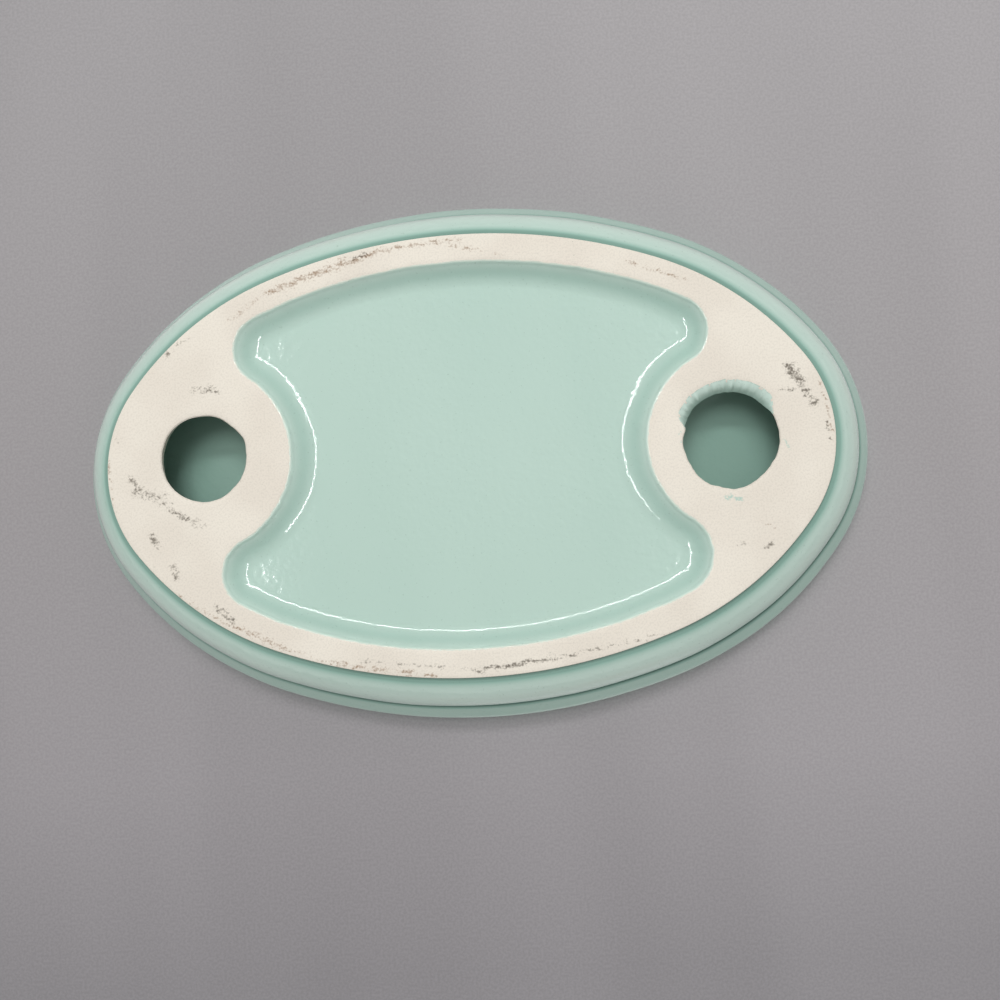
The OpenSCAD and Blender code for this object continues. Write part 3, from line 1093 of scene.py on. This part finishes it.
@dataclass
class HollowEnd:
    """The closed space in a raised end, over its drain hole, and the glaze inside it."""

    name: str
    hole: DrainHole
    boss: Point
    oval: FootOutline
    corners: tuple[tuple[Array, float, float], ...]
    sole_t: float = 3.8
    ceiling_h: float = 12.4
    round_foot_r: float = 13.6
    round_top_r: float = 11.8
    end_wall_t: float = 2.6
    end_flare: float = 3.2
    fillet_r: float = 2.2
    search_r: float = 34.0
    search_steps: int = 700
    ease_stations: float = 7.0
    sole_rows: int = 5
    sole_start: float = 0.04
    fillet_rows: int = 6
    wall_rows: int = 4
    ceiling_rows: int = 11

    def plan_radius(self, top: bool) -> Array:
        """Radius of the space about the hole's middle, at each station: where a ray leaves the
        union of a circle about the boss and the end's own circle, which keeps clear of the
        recess and basin corners. A corner is a middle, a radius at the sole and one at the
        ceiling. The result is eased round the ring.

        Args:
            top: whether it is the radius under the ceiling, and not the one over the sole.

        Returns:
            One radius for each station.
        """
        reach = np.linspace(0.0, self.search_r, self.search_steps)
        centre, boss = np.array(self.hole.centre), np.array(self.boss)
        sx = math.copysign(1.0, centre[0])
        p = centre + reach[None, :, None] * ray(self.hole.turns)[:, None]
        round_r = self.round_top_r if top else self.round_foot_r
        end_r = self.oval.end_r - self.end_wall_t + (self.end_flare if top else 0.0)
        held = np.linalg.norm(p - self.oval.end * sx, axis=-1) < end_r
        held &= sx * (p[..., 0] - boss[0]) > 0
        for corner, low_r, high_r in self.corners:
            held &= np.linalg.norm(p - corner, axis=-1) > (high_r if top else low_r)
        held |= np.linalg.norm(p - boss, axis=-1) < round_r
        return blurred(reach[np.argmin(held, axis=1)], self.ease_stations, closed=True)

    def pocket(self, skin: float) -> Array:
        """Rings from the hole's upper edge out over the sole, up the wall and over the ceiling
        to its middle.

        Args:
            skin: how far they lie inside the clay's surface.

        Returns:
            Rings of points.
        """
        ring, hole_r, r = self.hole.ring, self.hole.upper_radius, self.fillet_r
        low_r, high_r = self.plan_radius(False) - skin, self.plan_radius(True) - skin
        low, high = self.sole_t + skin, self.ceiling_h - skin
        bends = np.radians(np.linspace(0, 90, self.fillet_rows + 1)[1:])
        rings = [ring(hole_r, self.sole_t)]
        for share in np.linspace(self.sole_start, 1.0, self.sole_rows):
            rings.append(ring(hole_r + (low_r - r - hole_r) * share, low))
        for turn in bends:
            rings.append(ring(low_r - r * (1 - math.sin(turn)), low + r * (1 - math.cos(turn))))
        for share in np.linspace(0.0, 1.0, self.wall_rows + 1)[1:]:
            z = low + r + (high - low - 2 * r) * share
            rings.append(ring(low_r + (high_r - low_r) * share, z))
        for turn in bends:
            rings.append(ring(high_r - r * (1 - math.cos(turn)), high - r * (1 - math.sin(turn))))
        for share in np.linspace(0.0, 1.0, self.ceiling_rows + 1)[1:]:
            rings.append(ring((high_r - r) * (1 - share), high))
        return np.array(rings)

    def build(self) -> Item:
        """Makes the chamber's glaze."""
        return shell(self.name, self.pocket(GLAZE_T), self.pocket(0.0), EVEN)


@dataclass
class Collar:
    """Glaze that ran over the trimmed bevel at the mouth of the right drain hole."""

    hole: DrainHole
    bulge: float = 0.32
    rows: int = 14
    fade: float = 0.12
    ridge_length: float = 0.1
    ridge_seed: int = 31
    ridge_share: float = 0.6
    edge_pool: float = 0.2

    @property
    def shares(self) -> Array:
        """How far up the bevel each ring lies."""
        return np.linspace(0.0, 1.0, self.rows)

    def rings(self, behind: bool) -> Array:
        """The bevel's line from the foot face to the hole's wall, swelled towards the hole by a
        half sine and by small ridges that run down it. Where there is no bevel, the line has no
        length.

        Args:
            behind: whether it is the face against the clay, which has no swell.

        Returns:
            Rings of points.
        """
        hole, trim = self.hole, self.hole.trim
        live = smooth(trim / self.fade)
        outer = hole.radius + (hole.mouth - hole.radius) * live
        z_in = hole.trim_top * live
        lean = math.hypot(hole.trim_w, hole.trim_h)
        ridge = 1 + self.ridge_share * waves(ray(hole.turns), self.ridge_length, self.ridge_seed)
        bulge = 0.0 if behind else self.bulge
        rings = []
        for u in self.shares:
            swell = bulge * math.sin(math.pi * u) * trim * ridge
            r = outer + (hole.radius - outer) * u - swell * hole.trim_h / lean
            rings.append(hole.ring(r, np.maximum(z_in * u - swell * hole.trim_w / lean, 0.0)))
        return np.array(rings)

    def build(self) -> Item:
        """Makes the collar, thin along its outer edge."""
        pool = self.edge_pool + (EVEN - self.edge_pool) * self.shares[:, None]
        return shell("drain_collar", self.rings(False), self.rings(True), pool)


@dataclass(frozen=True)
class Mark:
    """A smear on the foot face: a line with a soft width."""

    stain: Stain
    start: Point
    end: Point
    width: float
    strength: float

    def level(self, p: Array) -> Array:
        """How strong the mark is at plane points: a bell of the distance from its line."""
        a, b = np.array(self.start), np.array(self.end)
        run = b - a
        share = np.clip(((p - a) @ run) / max(float(run @ run), 1e-9), 0.0, 1.0)
        away = np.linalg.norm(p - (a + share[..., None] * run), axis=-1)
        return Bell(self.strength, self.width).at(away)


@dataclass
class Casting:
    """The hollow clay casting. Only its foot face and the walls of its drain holes stay bare."""

    coat: OuterCoat
    recess: Recess
    ends: tuple[HollowEnd, ...]
    marks: tuple[Mark, ...]
    face_step: float = 0.8
    worn_r: float = 0.14

    def build(self) -> Item:
        """Makes the casting as one closed skin: foot face, recess, both chambers with their
        holes, and the outer surface under the glaze."""
        book = Book(*(stain.value for stain in Stain))
        loop, skin, under = self.coat.loop, self.coat.skin, self.coat.under
        edge = loop.moved(-self.worn_r)
        rings = [edge, self.recess.clay_edge]
        rings += [end.hole.ring(end.hole.mouth, 0.0)[:, :2] for end in self.ends]
        points, corners = filled(rings, self.face_step)
        book.patch(lifted(points, 0.0), corners, flip=True, **self.stains(points))
        worn = lifted(loop.moved(-self.worn_r / 3), self.worn_r / 3)
        book.grid(np.array([lifted(edge, 0.0), worn, lifted(loop.points, self.worn_r), skin[0]]))
        book.grid(np.stack([skin[0], under[0]]))
        book.grid(under)
        book.grid(self.recess.wall(True), flip=True)
        book.patch(*self.recess.floor(True), flip=True)
        for end in self.ends:
            book.grid(end.hole.throat(end.sole_t), flip=True)
            book.grid(end.pocket(0.0), flip=True)
        return book.make("clay_casting")

    def stains(self, p: Array) -> dict[str, Array]:
        """The level of every kind of stain at points of the foot face."""
        levels = {stain.value: np.zeros(len(p)) for stain in Stain}
        for mark in self.marks:
            kept = levels[mark.stain.value]
            levels[mark.stain.value] = np.maximum(kept, mark.level(p))
        return levels


def linear(colour: str) -> tuple[float, float, float, float]:
    """Turns an sRGB hex colour such as #e9e1d6 into the linear values that shaders take."""
    parts = [int(colour[i : i + 2], 16) / 255 for i in (1, 3, 5)]
    r, g, b = (c / 12.92 if c <= 0.04045 else ((c + 0.055) / 1.055) ** 2.4 for c in parts)
    return (r, g, b, 1.0)


def add(tree: Tree, kind: str, settings: dict | None = None, **links: object) -> bpy.types.Node:
    """Adds a node to a tree.

    Args:
        tree: the tree that takes the node.
        kind: the node's type.
        settings: attributes of the node.
        links: inputs by name with spaces as underscores, or by place as i0, i1 and so on. A
            socket is linked, and anything else is set as the input's value.

    Returns:
        The new node.
    """
    node = tree.nodes.new(kind)
    for key, value in (settings or {}).items():
        setattr(node, key, value)
    for key, value in links.items():
        by_place = key[0] == "i" and key[1:].isdigit()
        socket = node.inputs[int(key[1:]) if by_place else key.replace("_", " ")]
        if isinstance(value, bpy.types.NodeSocket):
            tree.links.new(value, socket)
        else:
            socket.default_value = value
    return node


def new_material(name: str) -> tuple[bpy.types.Material, Tree]:
    """An empty node material."""
    material = bpy.data.materials.new(name)
    material.use_nodes = True
    material.node_tree.nodes.clear()
    return material, material.node_tree


def ramp(tree: Tree, level: object, stops: tuple[tuple[float, str], ...]) -> object:
    """A colour ramp over a level, with sRGB hex colours at its stops."""
    node = add(tree, "ShaderNodeValToRGB", i0=level)
    band = node.color_ramp
    while len(band.elements) < len(stops):
        band.elements.new(0.5)
    for element, (place, colour) in zip(band.elements, stops):
        element.position = place
        element.color = linear(colour)
    return node.outputs["Color"]


def place_in(tree: Tree) -> object:
    """Object coordinates, in metres."""
    return add(tree, "ShaderNodeTexCoord").outputs["Object"]


def painted(tree: Tree, name: str) -> object:
    """A number that the points of the mesh carry."""
    return add(tree, "ShaderNodeAttribute", {"attribute_name": name}).outputs["Fac"]


def noise(tree: Tree, size_mm: float, detail: float = 2.0, stretch: Way = (1.0, 1.0, 1.0)) -> object:
    """Noise whose grains are about the given size in millimetres, on Object coordinates."""
    turned = add(tree, "ShaderNodeMapping", i0=place_in(tree), Scale=stretch).outputs[0]
    return add(tree, "ShaderNodeTexNoise", Vector=turned, Scale=1 / (size_mm * MM),
               Detail=detail).outputs["Fac"]


def spread(tree: Tree, value: object, low: float, high: float, to_low: float = 0.0,
           to_high: float = 1.0) -> object:
    """Maps a range of values to another, smoothly and within its ends."""
    return add(tree, "ShaderNodeMapRange", {"interpolation_type": "SMOOTHSTEP"}, i0=value, i1=low,
               i2=high, i3=to_low, i4=to_high).outputs[0]


def maths(tree: Tree, operation: str, a: object, b: object) -> object:
    """One sum of two values."""
    return add(tree, "ShaderNodeMath", {"operation": operation}, i0=a, i1=b).outputs[0]


def mixed(tree: Tree, share: object, a: object, b: object, blend: str = "MIX") -> object:
    """A colour between two colours, which are the node's inputs 6 and 7, counted from zero."""
    return add(tree, "ShaderNodeMix", {"data_type": "RGBA", "blend_type": blend}, i0=share, i6=a,
               i7=b).outputs[2]


def shaded(tree: Tree, colour: object, shade: object) -> object:
    """A colour made lighter or darker by a factor."""
    grey = add(tree, "ShaderNodeCombineColor", i0=shade, i1=shade, i2=shade).outputs[0]
    return mixed(tree, 1.0, colour, grey, "MULTIPLY")


def bumped(tree: Tree, strength: float, deep_mm: float, height: object) -> object:
    """Normals of a fine relief of the given depth in millimetres."""
    return add(tree, "ShaderNodeBump", Strength=strength, Distance=deep_mm * MM,
               Height=height).outputs[0]


@dataclass(frozen=True)
class PoolingGlaze:
    """A glossy lead-free glaze over white earthenware, fired until it ran. It is thin and pale
    on edges and deeper in hollows, has a faint orange peel and a few pinholes, and gives the
    eye hard white highlights over a soft green. The pool level that it reads also carries
    painted shade in hollows, on the moulding and down the recess wall, and painted light on the
    band."""

    name: str = "glossy_celadon_glaze"
    bare: str = "#e2ddce"
    thin: str = "#cfe4da"
    flat: str = "#b6d0c5"
    rich: str = "#93b9ac"
    deep: str = "#4c7064"
    speck: str = "#5d7d70"
    speck_share: float = 0.18
    speck_mm: float = 0.5
    cloud_mm: float = 30.0
    cloud_level: float = 0.02
    peel_mm: float = 1.5
    peel_deep_mm: float = 0.16
    peel_strength: float = 0.36
    fine_share: float = 0.12
    rough: float = 0.12
    coat: float = 0.3

    def make(self) -> bpy.types.Material:
        """Builds the node material."""
        material, tree = new_material(self.name)
        cloud = noise(tree, self.cloud_mm, stretch=(1.0, 0.25, 1.0))
        drift = spread(tree, cloud, 0.3, 0.7, -self.cloud_level, self.cloud_level)
        # The pool level holds glaze that ran together or thin, and also painted shade and painted
        # light; its higher levels darken towards the deep colour.
        level = maths(tree, "ADD", painted(tree, "pool"), drift)
        colour = ramp(tree, level, ((0.0, self.bare), (0.25, self.thin), (EVEN, self.flat),
                                    (0.72, self.rich), (1.0, self.deep)))
        pits = spread(tree, noise(tree, self.speck_mm), 0.34, 0.28)
        pits = maths(tree, "MULTIPLY", pits, self.speck_share)
        colour = mixed(tree, pits, colour, linear(self.speck))
        fine = maths(tree, "MULTIPLY", noise(tree, self.speck_mm * 1.4, 1.0), self.fine_share)
        peel = maths(tree, "ADD", noise(tree, self.peel_mm, 1.5), fine)
        normal = bumped(tree, self.peel_strength, self.peel_deep_mm, peel)
        shader = add(tree, "ShaderNodeBsdfPrincipled", Base_Color=colour, Roughness=self.rough,
                     IOR=1.52, Coat_Weight=self.coat, Coat_Roughness=0.05, Coat_IOR=1.5,
                     Normal=normal, Coat_Normal=normal)
        add(tree, "ShaderNodeOutputMaterial", Surface=shader.outputs[0])
        return material


@dataclass(frozen=True)
class Bisque:
    """Bare white earthenware, wiped and rubbed flat before firing. It is warm, chalky and
    fine-grained, and holds kiln-shelf soot, rust and traces of glaze in its pores."""

    name: str = "bisque_earthenware"
    warm: str = "#ece5d9"
    cool: str = "#e6ded2"
    soot: str = "#5f574c"
    rust: str = "#8f6f52"
    glaze: str = "#b6d0c5"
    soot_share: float = 0.85
    rust_share: float = 0.75
    grain_mm: float = 0.35
    grain_deep_mm: float = 0.1
    cloud_mm: float = 16.0
    blot_mm: float = 1.5
    pore_mm: float = 0.4
    pore_share: float = 0.8
    stain_from: float = 1.02
    stain_full: float = 1.36
    rough: float = 0.88

    def make(self) -> bpy.types.Material:
        """Builds the node material. A stain shows where its level and the pores together pass
        a threshold, so that it breaks up as it does in real clay."""
        material, tree = new_material(self.name)
        cloud = spread(tree, noise(tree, self.cloud_mm), 0.35, 0.65)
        colour = mixed(tree, cloud, linear(self.warm), linear(self.cool))
        grain = noise(tree, self.grain_mm, 3.0)
        colour = shaded(tree, colour, spread(tree, grain, 0.3, 0.6, 0.93, 1.02))
        blots = noise(tree, self.blot_mm, 3.0, (1.0, 1.6, 1.0))
        pores = maths(tree, "ADD", blots, noise(tree, self.pore_mm, 3.0))
        pores = maths(tree, "MULTIPLY", pores, self.pore_share)
        for stain, tone, most in ((Stain.RUST, self.rust, self.rust_share),
                                  (Stain.SOOT, self.soot, self.soot_share),
                                  (Stain.GLAZE, self.glaze, 1.0)):
            broken = maths(tree, "ADD", painted(tree, stain.value), pores)
            share = spread(tree, broken, self.stain_from, self.stain_full, 0.0, most)
            colour = mixed(tree, share, colour, linear(tone))
        shader = add(tree, "ShaderNodeBsdfPrincipled", Base_Color=colour, Roughness=self.rough,
                     IOR=1.5, Specular_IOR_Level=0.3,
                     Normal=bumped(tree, 0.35, self.grain_deep_mm, grain))
        add(tree, "ShaderNodeOutputMaterial", Surface=shader.outputs[0])
        return material


def stand(item: Item, right: Array, up: Array, back: Array, place: Array) -> None:
    """Puts a lamp or a camera in its place.

    Args:
        item: the lamp or camera.
        right: unit vector to its right.
        up: unit vector to its upper side.
        back: unit vector away from what it looks at.
        place: where it stands, in metres.
    """
    matrix = np.eye(4)
    matrix[:3] = np.stack([right, up, back, place], axis=-1)
    item.matrix_world = Matrix(matrix.tolist())


@dataclass(frozen=True)
class Lamp:
    """A soft box that looks at the dish. It can be left out of the reflections, as behind a matt
    screen. One that is left out of the soft light is a narrow lamp that only makes the bright
    lines along the recess, and shines on nothing else."""

    name: str
    way: Way
    wide: float
    tall: float
    radiance: float
    distance: float = 0.9
    soft: bool = True
    shiny: bool = True

    def make(self, recess: bpy.types.Collection) -> None:
        """Adds the lamp. Its power is its radiance times pi times its area.

        Args:
            recess: the pieces that a narrow lamp shines on.
        """
        data = bpy.data.lights.new(self.name, "AREA")
        data.shape = "RECTANGLE"
        data.size, data.size_y = self.wide, self.tall
        data.energy = self.radiance * math.pi * self.wide * self.tall
        back = unit(np.array(self.way))
        right = unit(np.cross((0.0, 1.0, 0.0), back))
        lamp = new_object(self.name, data)
        stand(lamp, right, np.cross(back, right), back, back * self.distance)
        lamp.visible_diffuse, lamp.visible_glossy = self.soft, self.shiny
        if not self.soft:
            lamp.light_linking.receiver_collection = recess


@dataclass
class Studio:
    """Camera, lamps, world and the two plain grounds: the grey one that the upturned dish lies
    on, seen from below, and the pale floor under its foot, seen from above. Each ground shows
    only its own side and lets the light of the other half of the studio through. Reflections
    show the grey ground but not the pale floor, which would hide the lamps from the glaze of
    the dish's underside."""

    camera_mm: Way = (22.0193, 19.5174, -181.5914)
    right: Way = (0.997817, 0.057655, 0.032213)
    down: Way = (-0.059304, 0.996840, 0.052841)
    ahead: Way = (-0.029065, -0.054636, 0.998083)
    lens: float = 36.0
    sensor: float = 36.0
    lens_shift: float = -0.06214
    clip: Point = (0.01, 20.0)
    ground_gap: float = 0.1
    ground_half: float = 1.5
    floor_gap: float = 0.05
    floor_half: float = 3.0
    floor_tone: str = "#dcdad6"
    fade: Point = (0.15, 1.0)
    surround: str = "#f4f4f2"
    bright: float = 0.85
    ambient: float = 0.5
    # The grey ground darkens towards +Y: painted light falloff over the ground.
    paper: tuple[tuple[float, str], ...] = (
        (0.0, "#a3a0a2"), (0.5, "#9e9a9c"), (0.8, "#9d999c"), (1.0, "#908d90"))
    paper_half: float = 0.1
    smudge_mm: float = 34.0
    grain_mm: float = 0.5
    lamps: tuple[Lamp, ...] = (
        Lamp("low_over", (-0.03, -0.2, -1.0), 0.3, 0.27, 8.8, shiny=False),
        Lamp("low_key", (0.0, -0.47, -0.88), 0.5, 0.1, 17.0, shiny=False),
        Lamp("line_top", (-0.03, -0.42, -0.91), 0.62, 0.035, 30.0, soft=False),
        Lamp("line_left", (-0.42, -0.05, -0.906), 0.03, 0.8, 30.0, soft=False),
        Lamp("line_right", (0.215, 0.0, -0.976), 0.03, 0.9, 30.0, soft=False),
        Lamp("box_key", (-0.45, -0.5, 0.75), 0.5, 0.5, 5.0, 1.1),
        Lamp("box_fill", (0.6, -0.2, 0.8), 0.5, 0.5, 3.7, 1.1),
        Lamp("box_back", (0.1, 0.7, 0.7), 0.6, 0.4, 3.7, 1.1),
    )

    def camera(self) -> None:
        """Puts the camera where the dish was seen from."""
        data = bpy.data.cameras.new("view")
        data.lens, data.sensor_width, data.sensor_fit = self.lens, self.sensor, "HORIZONTAL"
        data.clip_start, data.clip_end = self.clip
        data.shift_x = self.lens_shift
        camera = new_object("view", data)
        stand(camera, np.array(self.right), -np.array(self.down), -np.array(self.ahead),
              np.array(self.camera_mm) * MM)
        bpy.context.scene.camera = camera

    def world(self) -> None:
        """A pale surround for the eye and for reflections, and a low even light for all else."""
        world = bpy.data.worlds.new("studio")
        bpy.context.scene.world = world
        world.use_nodes = True
        tree = world.node_tree
        tree.nodes.clear()
        light = add(tree, "ShaderNodeLightPath").outputs
        seen = maths(tree, "MAXIMUM", light["Is Camera Ray"], light["Is Glossy Ray"])
        seen = maths(tree, "MAXIMUM", seen, light["Is Transmission Ray"])
        strength = spread(tree, seen, 0.0, 1.0, self.ambient, self.bright)
        back = add(tree, "ShaderNodeBackground", Color=linear(self.surround), Strength=strength)
        add(tree, "ShaderNodeOutputWorld", Surface=back.outputs[0])

    def ground(self, name: str, z_mm: float, half: float, paper: bool) -> None:
        """Adds a ground that is seen from one side.

        Args:
            name: name of the ground.
            z_mm: its height.
            half: half its width, in metres.
            paper: whether it is the grey ground of the upturned dish, seen from below.
        """
        mesh = bpy.data.meshes.new(name)
        corners = [(-half, -half), (half, -half), (half, half), (-half, half)]
        mesh.from_pydata([(x, y, z_mm * MM) for x, y in corners], [],
                         [(3, 2, 1, 0) if paper else (0, 1, 2, 3)])
        plane = new_object(name, mesh)
        material, tree = new_material(name)
        light = add(tree, "ShaderNodeLightPath").outputs
        seen = light["Is Camera Ray"]
        colour = linear(self.floor_tone)
        if paper:
            seen = maths(tree, "MAXIMUM", seen, light["Is Glossy Ray"])
            colour = self.paper_colour_with_painted_falloff(tree)
        away = add(tree, "ShaderNodeNewGeometry").outputs["Backfacing"]
        share = maths(tree, "MULTIPLY", seen, maths(tree, "SUBTRACT", 1.0, away))
        clear = add(tree, "ShaderNodeBsdfTransparent").outputs[0]
        matt = add(tree, "ShaderNodeBsdfDiffuse", Color=colour).outputs[0]
        if not paper:
            matt = self.faded(tree, matt)
        both = add(tree, "ShaderNodeMixShader", i0=share, i1=clear, i2=matt)
        add(tree, "ShaderNodeOutputMaterial", Surface=both.outputs[0])
        mesh.materials.append(material)

    def faded(self, tree: Tree, matt: object) -> object:
        """The floor's own shading near the dish, which turns into the plain surround with the
        distance from it, so that no horizon shows."""
        far = add(tree, "ShaderNodeVectorMath", {"operation": "LENGTH"}, i0=place_in(tree))
        share = spread(tree, far.outputs["Value"], *self.fade)
        glow = add(tree, "ShaderNodeEmission", Color=linear(self.surround), Strength=self.bright)
        return add(tree, "ShaderNodeMixShader", i0=share, i1=matt, i2=glow.outputs[0]).outputs[0]

    def paper_colour_with_painted_falloff(self, tree: Tree) -> object:
        """Grey that darkens towards +Y and lightens towards +X, which is painted light falloff, with
        soft smudges along Y and a fine grain.
        """
        part = add(tree, "ShaderNodeSeparateXYZ", i0=place_in(tree)).outputs
        half = self.paper_half
        level = add(tree, "ShaderNodeMapRange", i0=part[1], i1=-half, i2=half).outputs[0]
        # Lighter towards +X: painted light falloff.
        side = spread(tree, part[0], -half, half, 0.98, 1.07)
        smudges = noise(tree, self.smudge_mm, 1.0, (1.0, 0.18, 1.0))
        smudge = spread(tree, smudges, 0.3, 0.7, 0.96, 1.04)
        grain = spread(tree, noise(tree, self.grain_mm, 3.0), 0.3, 0.7, 0.94, 1.06)
        shade = maths(tree, "MULTIPLY", maths(tree, "MULTIPLY", smudge, grain), side)
        return shaded(tree, ramp(tree, level, self.paper), shade)

    def build(self, top_mm: float, recess: Item) -> None:
        """Sets up the whole studio.

        Args:
            top_mm: height of the dish, on whose rim the grey ground lies.
            recess: the recess glaze, the one piece that the narrow lamps shine on.
        """
        self.camera()
        self.world()
        lit = bpy.data.collections.new("narrow_lamps_shine_on")
        lit.objects.link(recess)
        for lamp in self.lamps:
            lamp.make(lit)
        self.ground("grey_ground", top_mm + self.ground_gap, self.ground_half, paper=True)
        self.ground("pale_floor", -self.floor_gap, self.floor_half, paper=False)
        bpy.context.scene.view_settings.view_transform = "Standard"


# Headings and radii, given one by one along each cut.
LEFT_HOLE = DrainHole(
    (-48.9, -1.9),
    ((0, 7.9), (10, 7.85), (25, 7.81), (38, 7.81), (50, 7.66), (65, 7.93), (90, 7.93), (120, 7.87),
     (150, 7.9), (180, 7.87), (225, 8.13), (270, 7.94), (290, 8.1), (310, 7.83), (325, 8.0),
     (338, 8.3), (350, 7.94)),
    seed=41, ragged=0.02)
RIGHT_HOLE = DrainHole(
    (48.1, 0.4),
    ((2, 8.75), (27, 8.56), (49, 8.39), (74, 8.82), (92, 9.03), (101, 8.95), (107, 8.6), (113, 9.09),
     (132, 9.02), (151, 8.71), (162, 8.66), (180, 8.85), (190, 8.75), (195, 8.3), (200, 8.7),
     (214, 8.83), (230, 9.0), (250, 8.98), (273, 9.0), (289, 9.12), (308, 8.95), (326, 8.83),
     (349, 8.68)),
    seed=51, ragged=0.05, trim_from=196.0, trim_to=334.0, trim_w=1.75, trim_h=2.0)

# Radii that the hollow ends keep clear of: the recess corners, and the basin corners at the
# height of the sole and of the ceiling. The wall is the clay that is left round each.
RECESS_TIP_R = 4.8
BASIN_CORNER_LOW_R = 2.2
BASIN_CORNER_HIGH_R = 6.9
CORNER_WALL_T = 3.4

# Smears on the foot face: where each starts and ends, its width and its strength.
SMEARS = {
    Stain.RUST: (
        (-43.0, -27.6, -35.1, -32.4, 0.8, 0.30), (-35.1, -32.4, -20.0, -37.2, 1.2, 0.38),
        (-24.0, -35.6, -13.0, -38.9, 0.7, 0.44), (-13.0, -38.9, 0.5, -39.8, 0.7, 0.36),
        (-1.0, -38.6, 4.5, -37.6, 0.6, 0.36), (6.0, -36.2, 10.0, -36.0, 0.6, 0.34),
        (-67.0, -3.0, -66.0, 6.0, 0.6, 0.34), (-56.0, 22.0, -46.0, 28.6, 0.8, 0.36),
        (-46.0, 28.6, -30.0, 36.2, 0.9, 0.40), (-30.0, 36.2, -8.0, 40.3, 0.8, 0.40),
        (64.6, -10.4, 66.4, 0.4, 0.5, 0.42), (31.0, -33.6, 42.0, -29.4, 0.6, 0.34),
        (52.5, 15.4, 55.1, 17.0, 0.3, 0.50), (-32.0, -20.0, -30.4, -8.0, 0.5, 0.30)),
    Stain.SOOT: (
        (-20.0, -37.6, -17.0, -38.3, 0.8, 0.36), (-62.6, 0.8, -60.9, 3.8, 1.0, 0.38),
        (-62.0, 3.2, -56.4, 5.4, 1.5, 0.34), (-56.0, 7.0, -50.0, 10.2, 1.1, 0.36),
        (-59.0, 11.7, -58.0, 13.6, 0.9, 0.42), (-55.4, 17.7, -54.6, 19.7, 0.8, 0.42),
        (-50.0, -14.8, -46.0, -14.4, 1.3, 0.32), (-47.5, 25.6, -44.5, 28.4, 1.0, 0.38),
        (-22.0, 36.6, 0.1, 39.4, 0.5, 0.34), (0.1, 39.4, 14.0, 38.0, 0.6, 0.46),
        (14.0, 38.0, 34.5, 34.6, 0.5, 0.36), (59.2, -12.4, 61.2, -9.6, 1.2, 0.48),
        (61.0, -9.0, 63.4, -5.4, 1.2, 0.38), (65.4, -4.0, 65.9, 1.6, 0.4, 0.36),
        (55.6, -8.5, 59.7, -7.9, 0.25, 0.50), (53.0, 20.3, 54.4, 19.4, 0.5, 0.50),
        (47.6, 19.3, 49.2, 19.4, 0.4, 0.50), (-66.0, -12.0, -64.8, -6.0, 0.5, 0.34),
        (-56.0, -21.0, -51.0, -24.6, 0.6, 0.34)),
    Stain.GLAZE: (
        (46.2, 11.0, 47.4, 10.9, 0.45, 0.70), (48.4, 11.2, 49.6, 11.0, 0.4, 0.60),
        (57.6, 1.2, 58.4, 3.0, 0.4, 0.45), (38.9, -1.9, 39.2, 0.6, 0.35, 0.45)),
}
MARKS = tuple(Mark(stain, (x0, y0), (x1, y1), width, strength)
              for stain, smears in SMEARS.items()
              for x0, y0, x1, y1, width, strength in smears)


def hollow_end(name: str, hole: DrainHole, side: int, coat: OuterCoat,
               recess: Recess) -> HollowEnd:
    """The hollow end over one drain hole, clear of the four corners beside it.

    Args:
        name: name of the chamber's glaze.
        hole: its drain hole.
        side: 0 on the left and 1 on the right.
        coat: the outer glaze, whose platform roofs it.
        recess: the recess, whose boss is its floor.

    Returns:
        The hollow end.
    """
    oval, boss = coat.oval, recess.bosses[side]
    tip_r = RECESS_TIP_R + CORNER_WALL_T
    corners = []
    for sy in (-1.0, 1.0):
        tip = oval.corner(np.array(boss), recess.boss_radii[side], RECESS_TIP_R, FOOT_W, sy)
        corners.append((tip, tip_r, tip_r))
        corners.append((coat.platforms[side].corner(oval, sy), BASIN_CORNER_LOW_R + CORNER_WALL_T,
                        BASIN_CORNER_HIGH_R + CORNER_WALL_T))
    return HollowEnd(name, hole, boss, oval, tuple(corners))


def main() -> None:
    """Builds the dish from the foot up, dresses it, and sets up the studio."""
    logging.basicConfig(level=logging.INFO, format="%(name)s: %(message)s")
    oval = FootOutline()
    coat, recess = OuterCoat(oval), Recess(oval)
    left = hollow_end("left_chamber_coat", LEFT_HOLE, 0, coat, recess)
    right = hollow_end("right_chamber_coat", RIGHT_HOLE, 1, coat, recess)
    casting = Casting(coat, recess, (left, right), MARKS)
    glaze, bisque = PoolingGlaze().make(), Bisque().make()
    # Inside the chambers: a rougher copy of the glaze whose darker colours are painted shade.
    shaded_chamber_glaze = PoolingGlaze(name="chamber_glaze_with_painted_shade", flat="#8aaa9e", rich="#759689",
                                rough=0.45, coat=0.0).make()
    recess_coat = recess.build()
    jobs = (
        (casting.build(), ("clay_body",), Slot.BISQUE, bisque),
        (coat.build(), ("outer_glaze",), Slot.GLAZE, glaze),
        (recess_coat, ("recess_glaze",), Slot.GLAZE, glaze),
        (left.build(), ("left_chamber_glaze",), Slot.CHAMBER, shaded_chamber_glaze),
        (right.build(), ("right_chamber_glaze",), Slot.CHAMBER, shaded_chamber_glaze),
        (Collar(RIGHT_HOLE).build(), ("drain_collar_glaze",), Slot.GLAZE, glaze),
    )
    for piece, nodes, slot, material in jobs:
        piece.data.materials.append(material)
        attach(piece, ROOT)
        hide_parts(*nodes)
        triangles = sum(len(face.vertices) - 2 for face in piece.data.polygons)
        LOG.info("%s: %d triangles", piece.name, triangles)
    Studio().build(CAD_BOX[1][2] / MM, recess_coat)


if __name__ == "__main__":
    main()
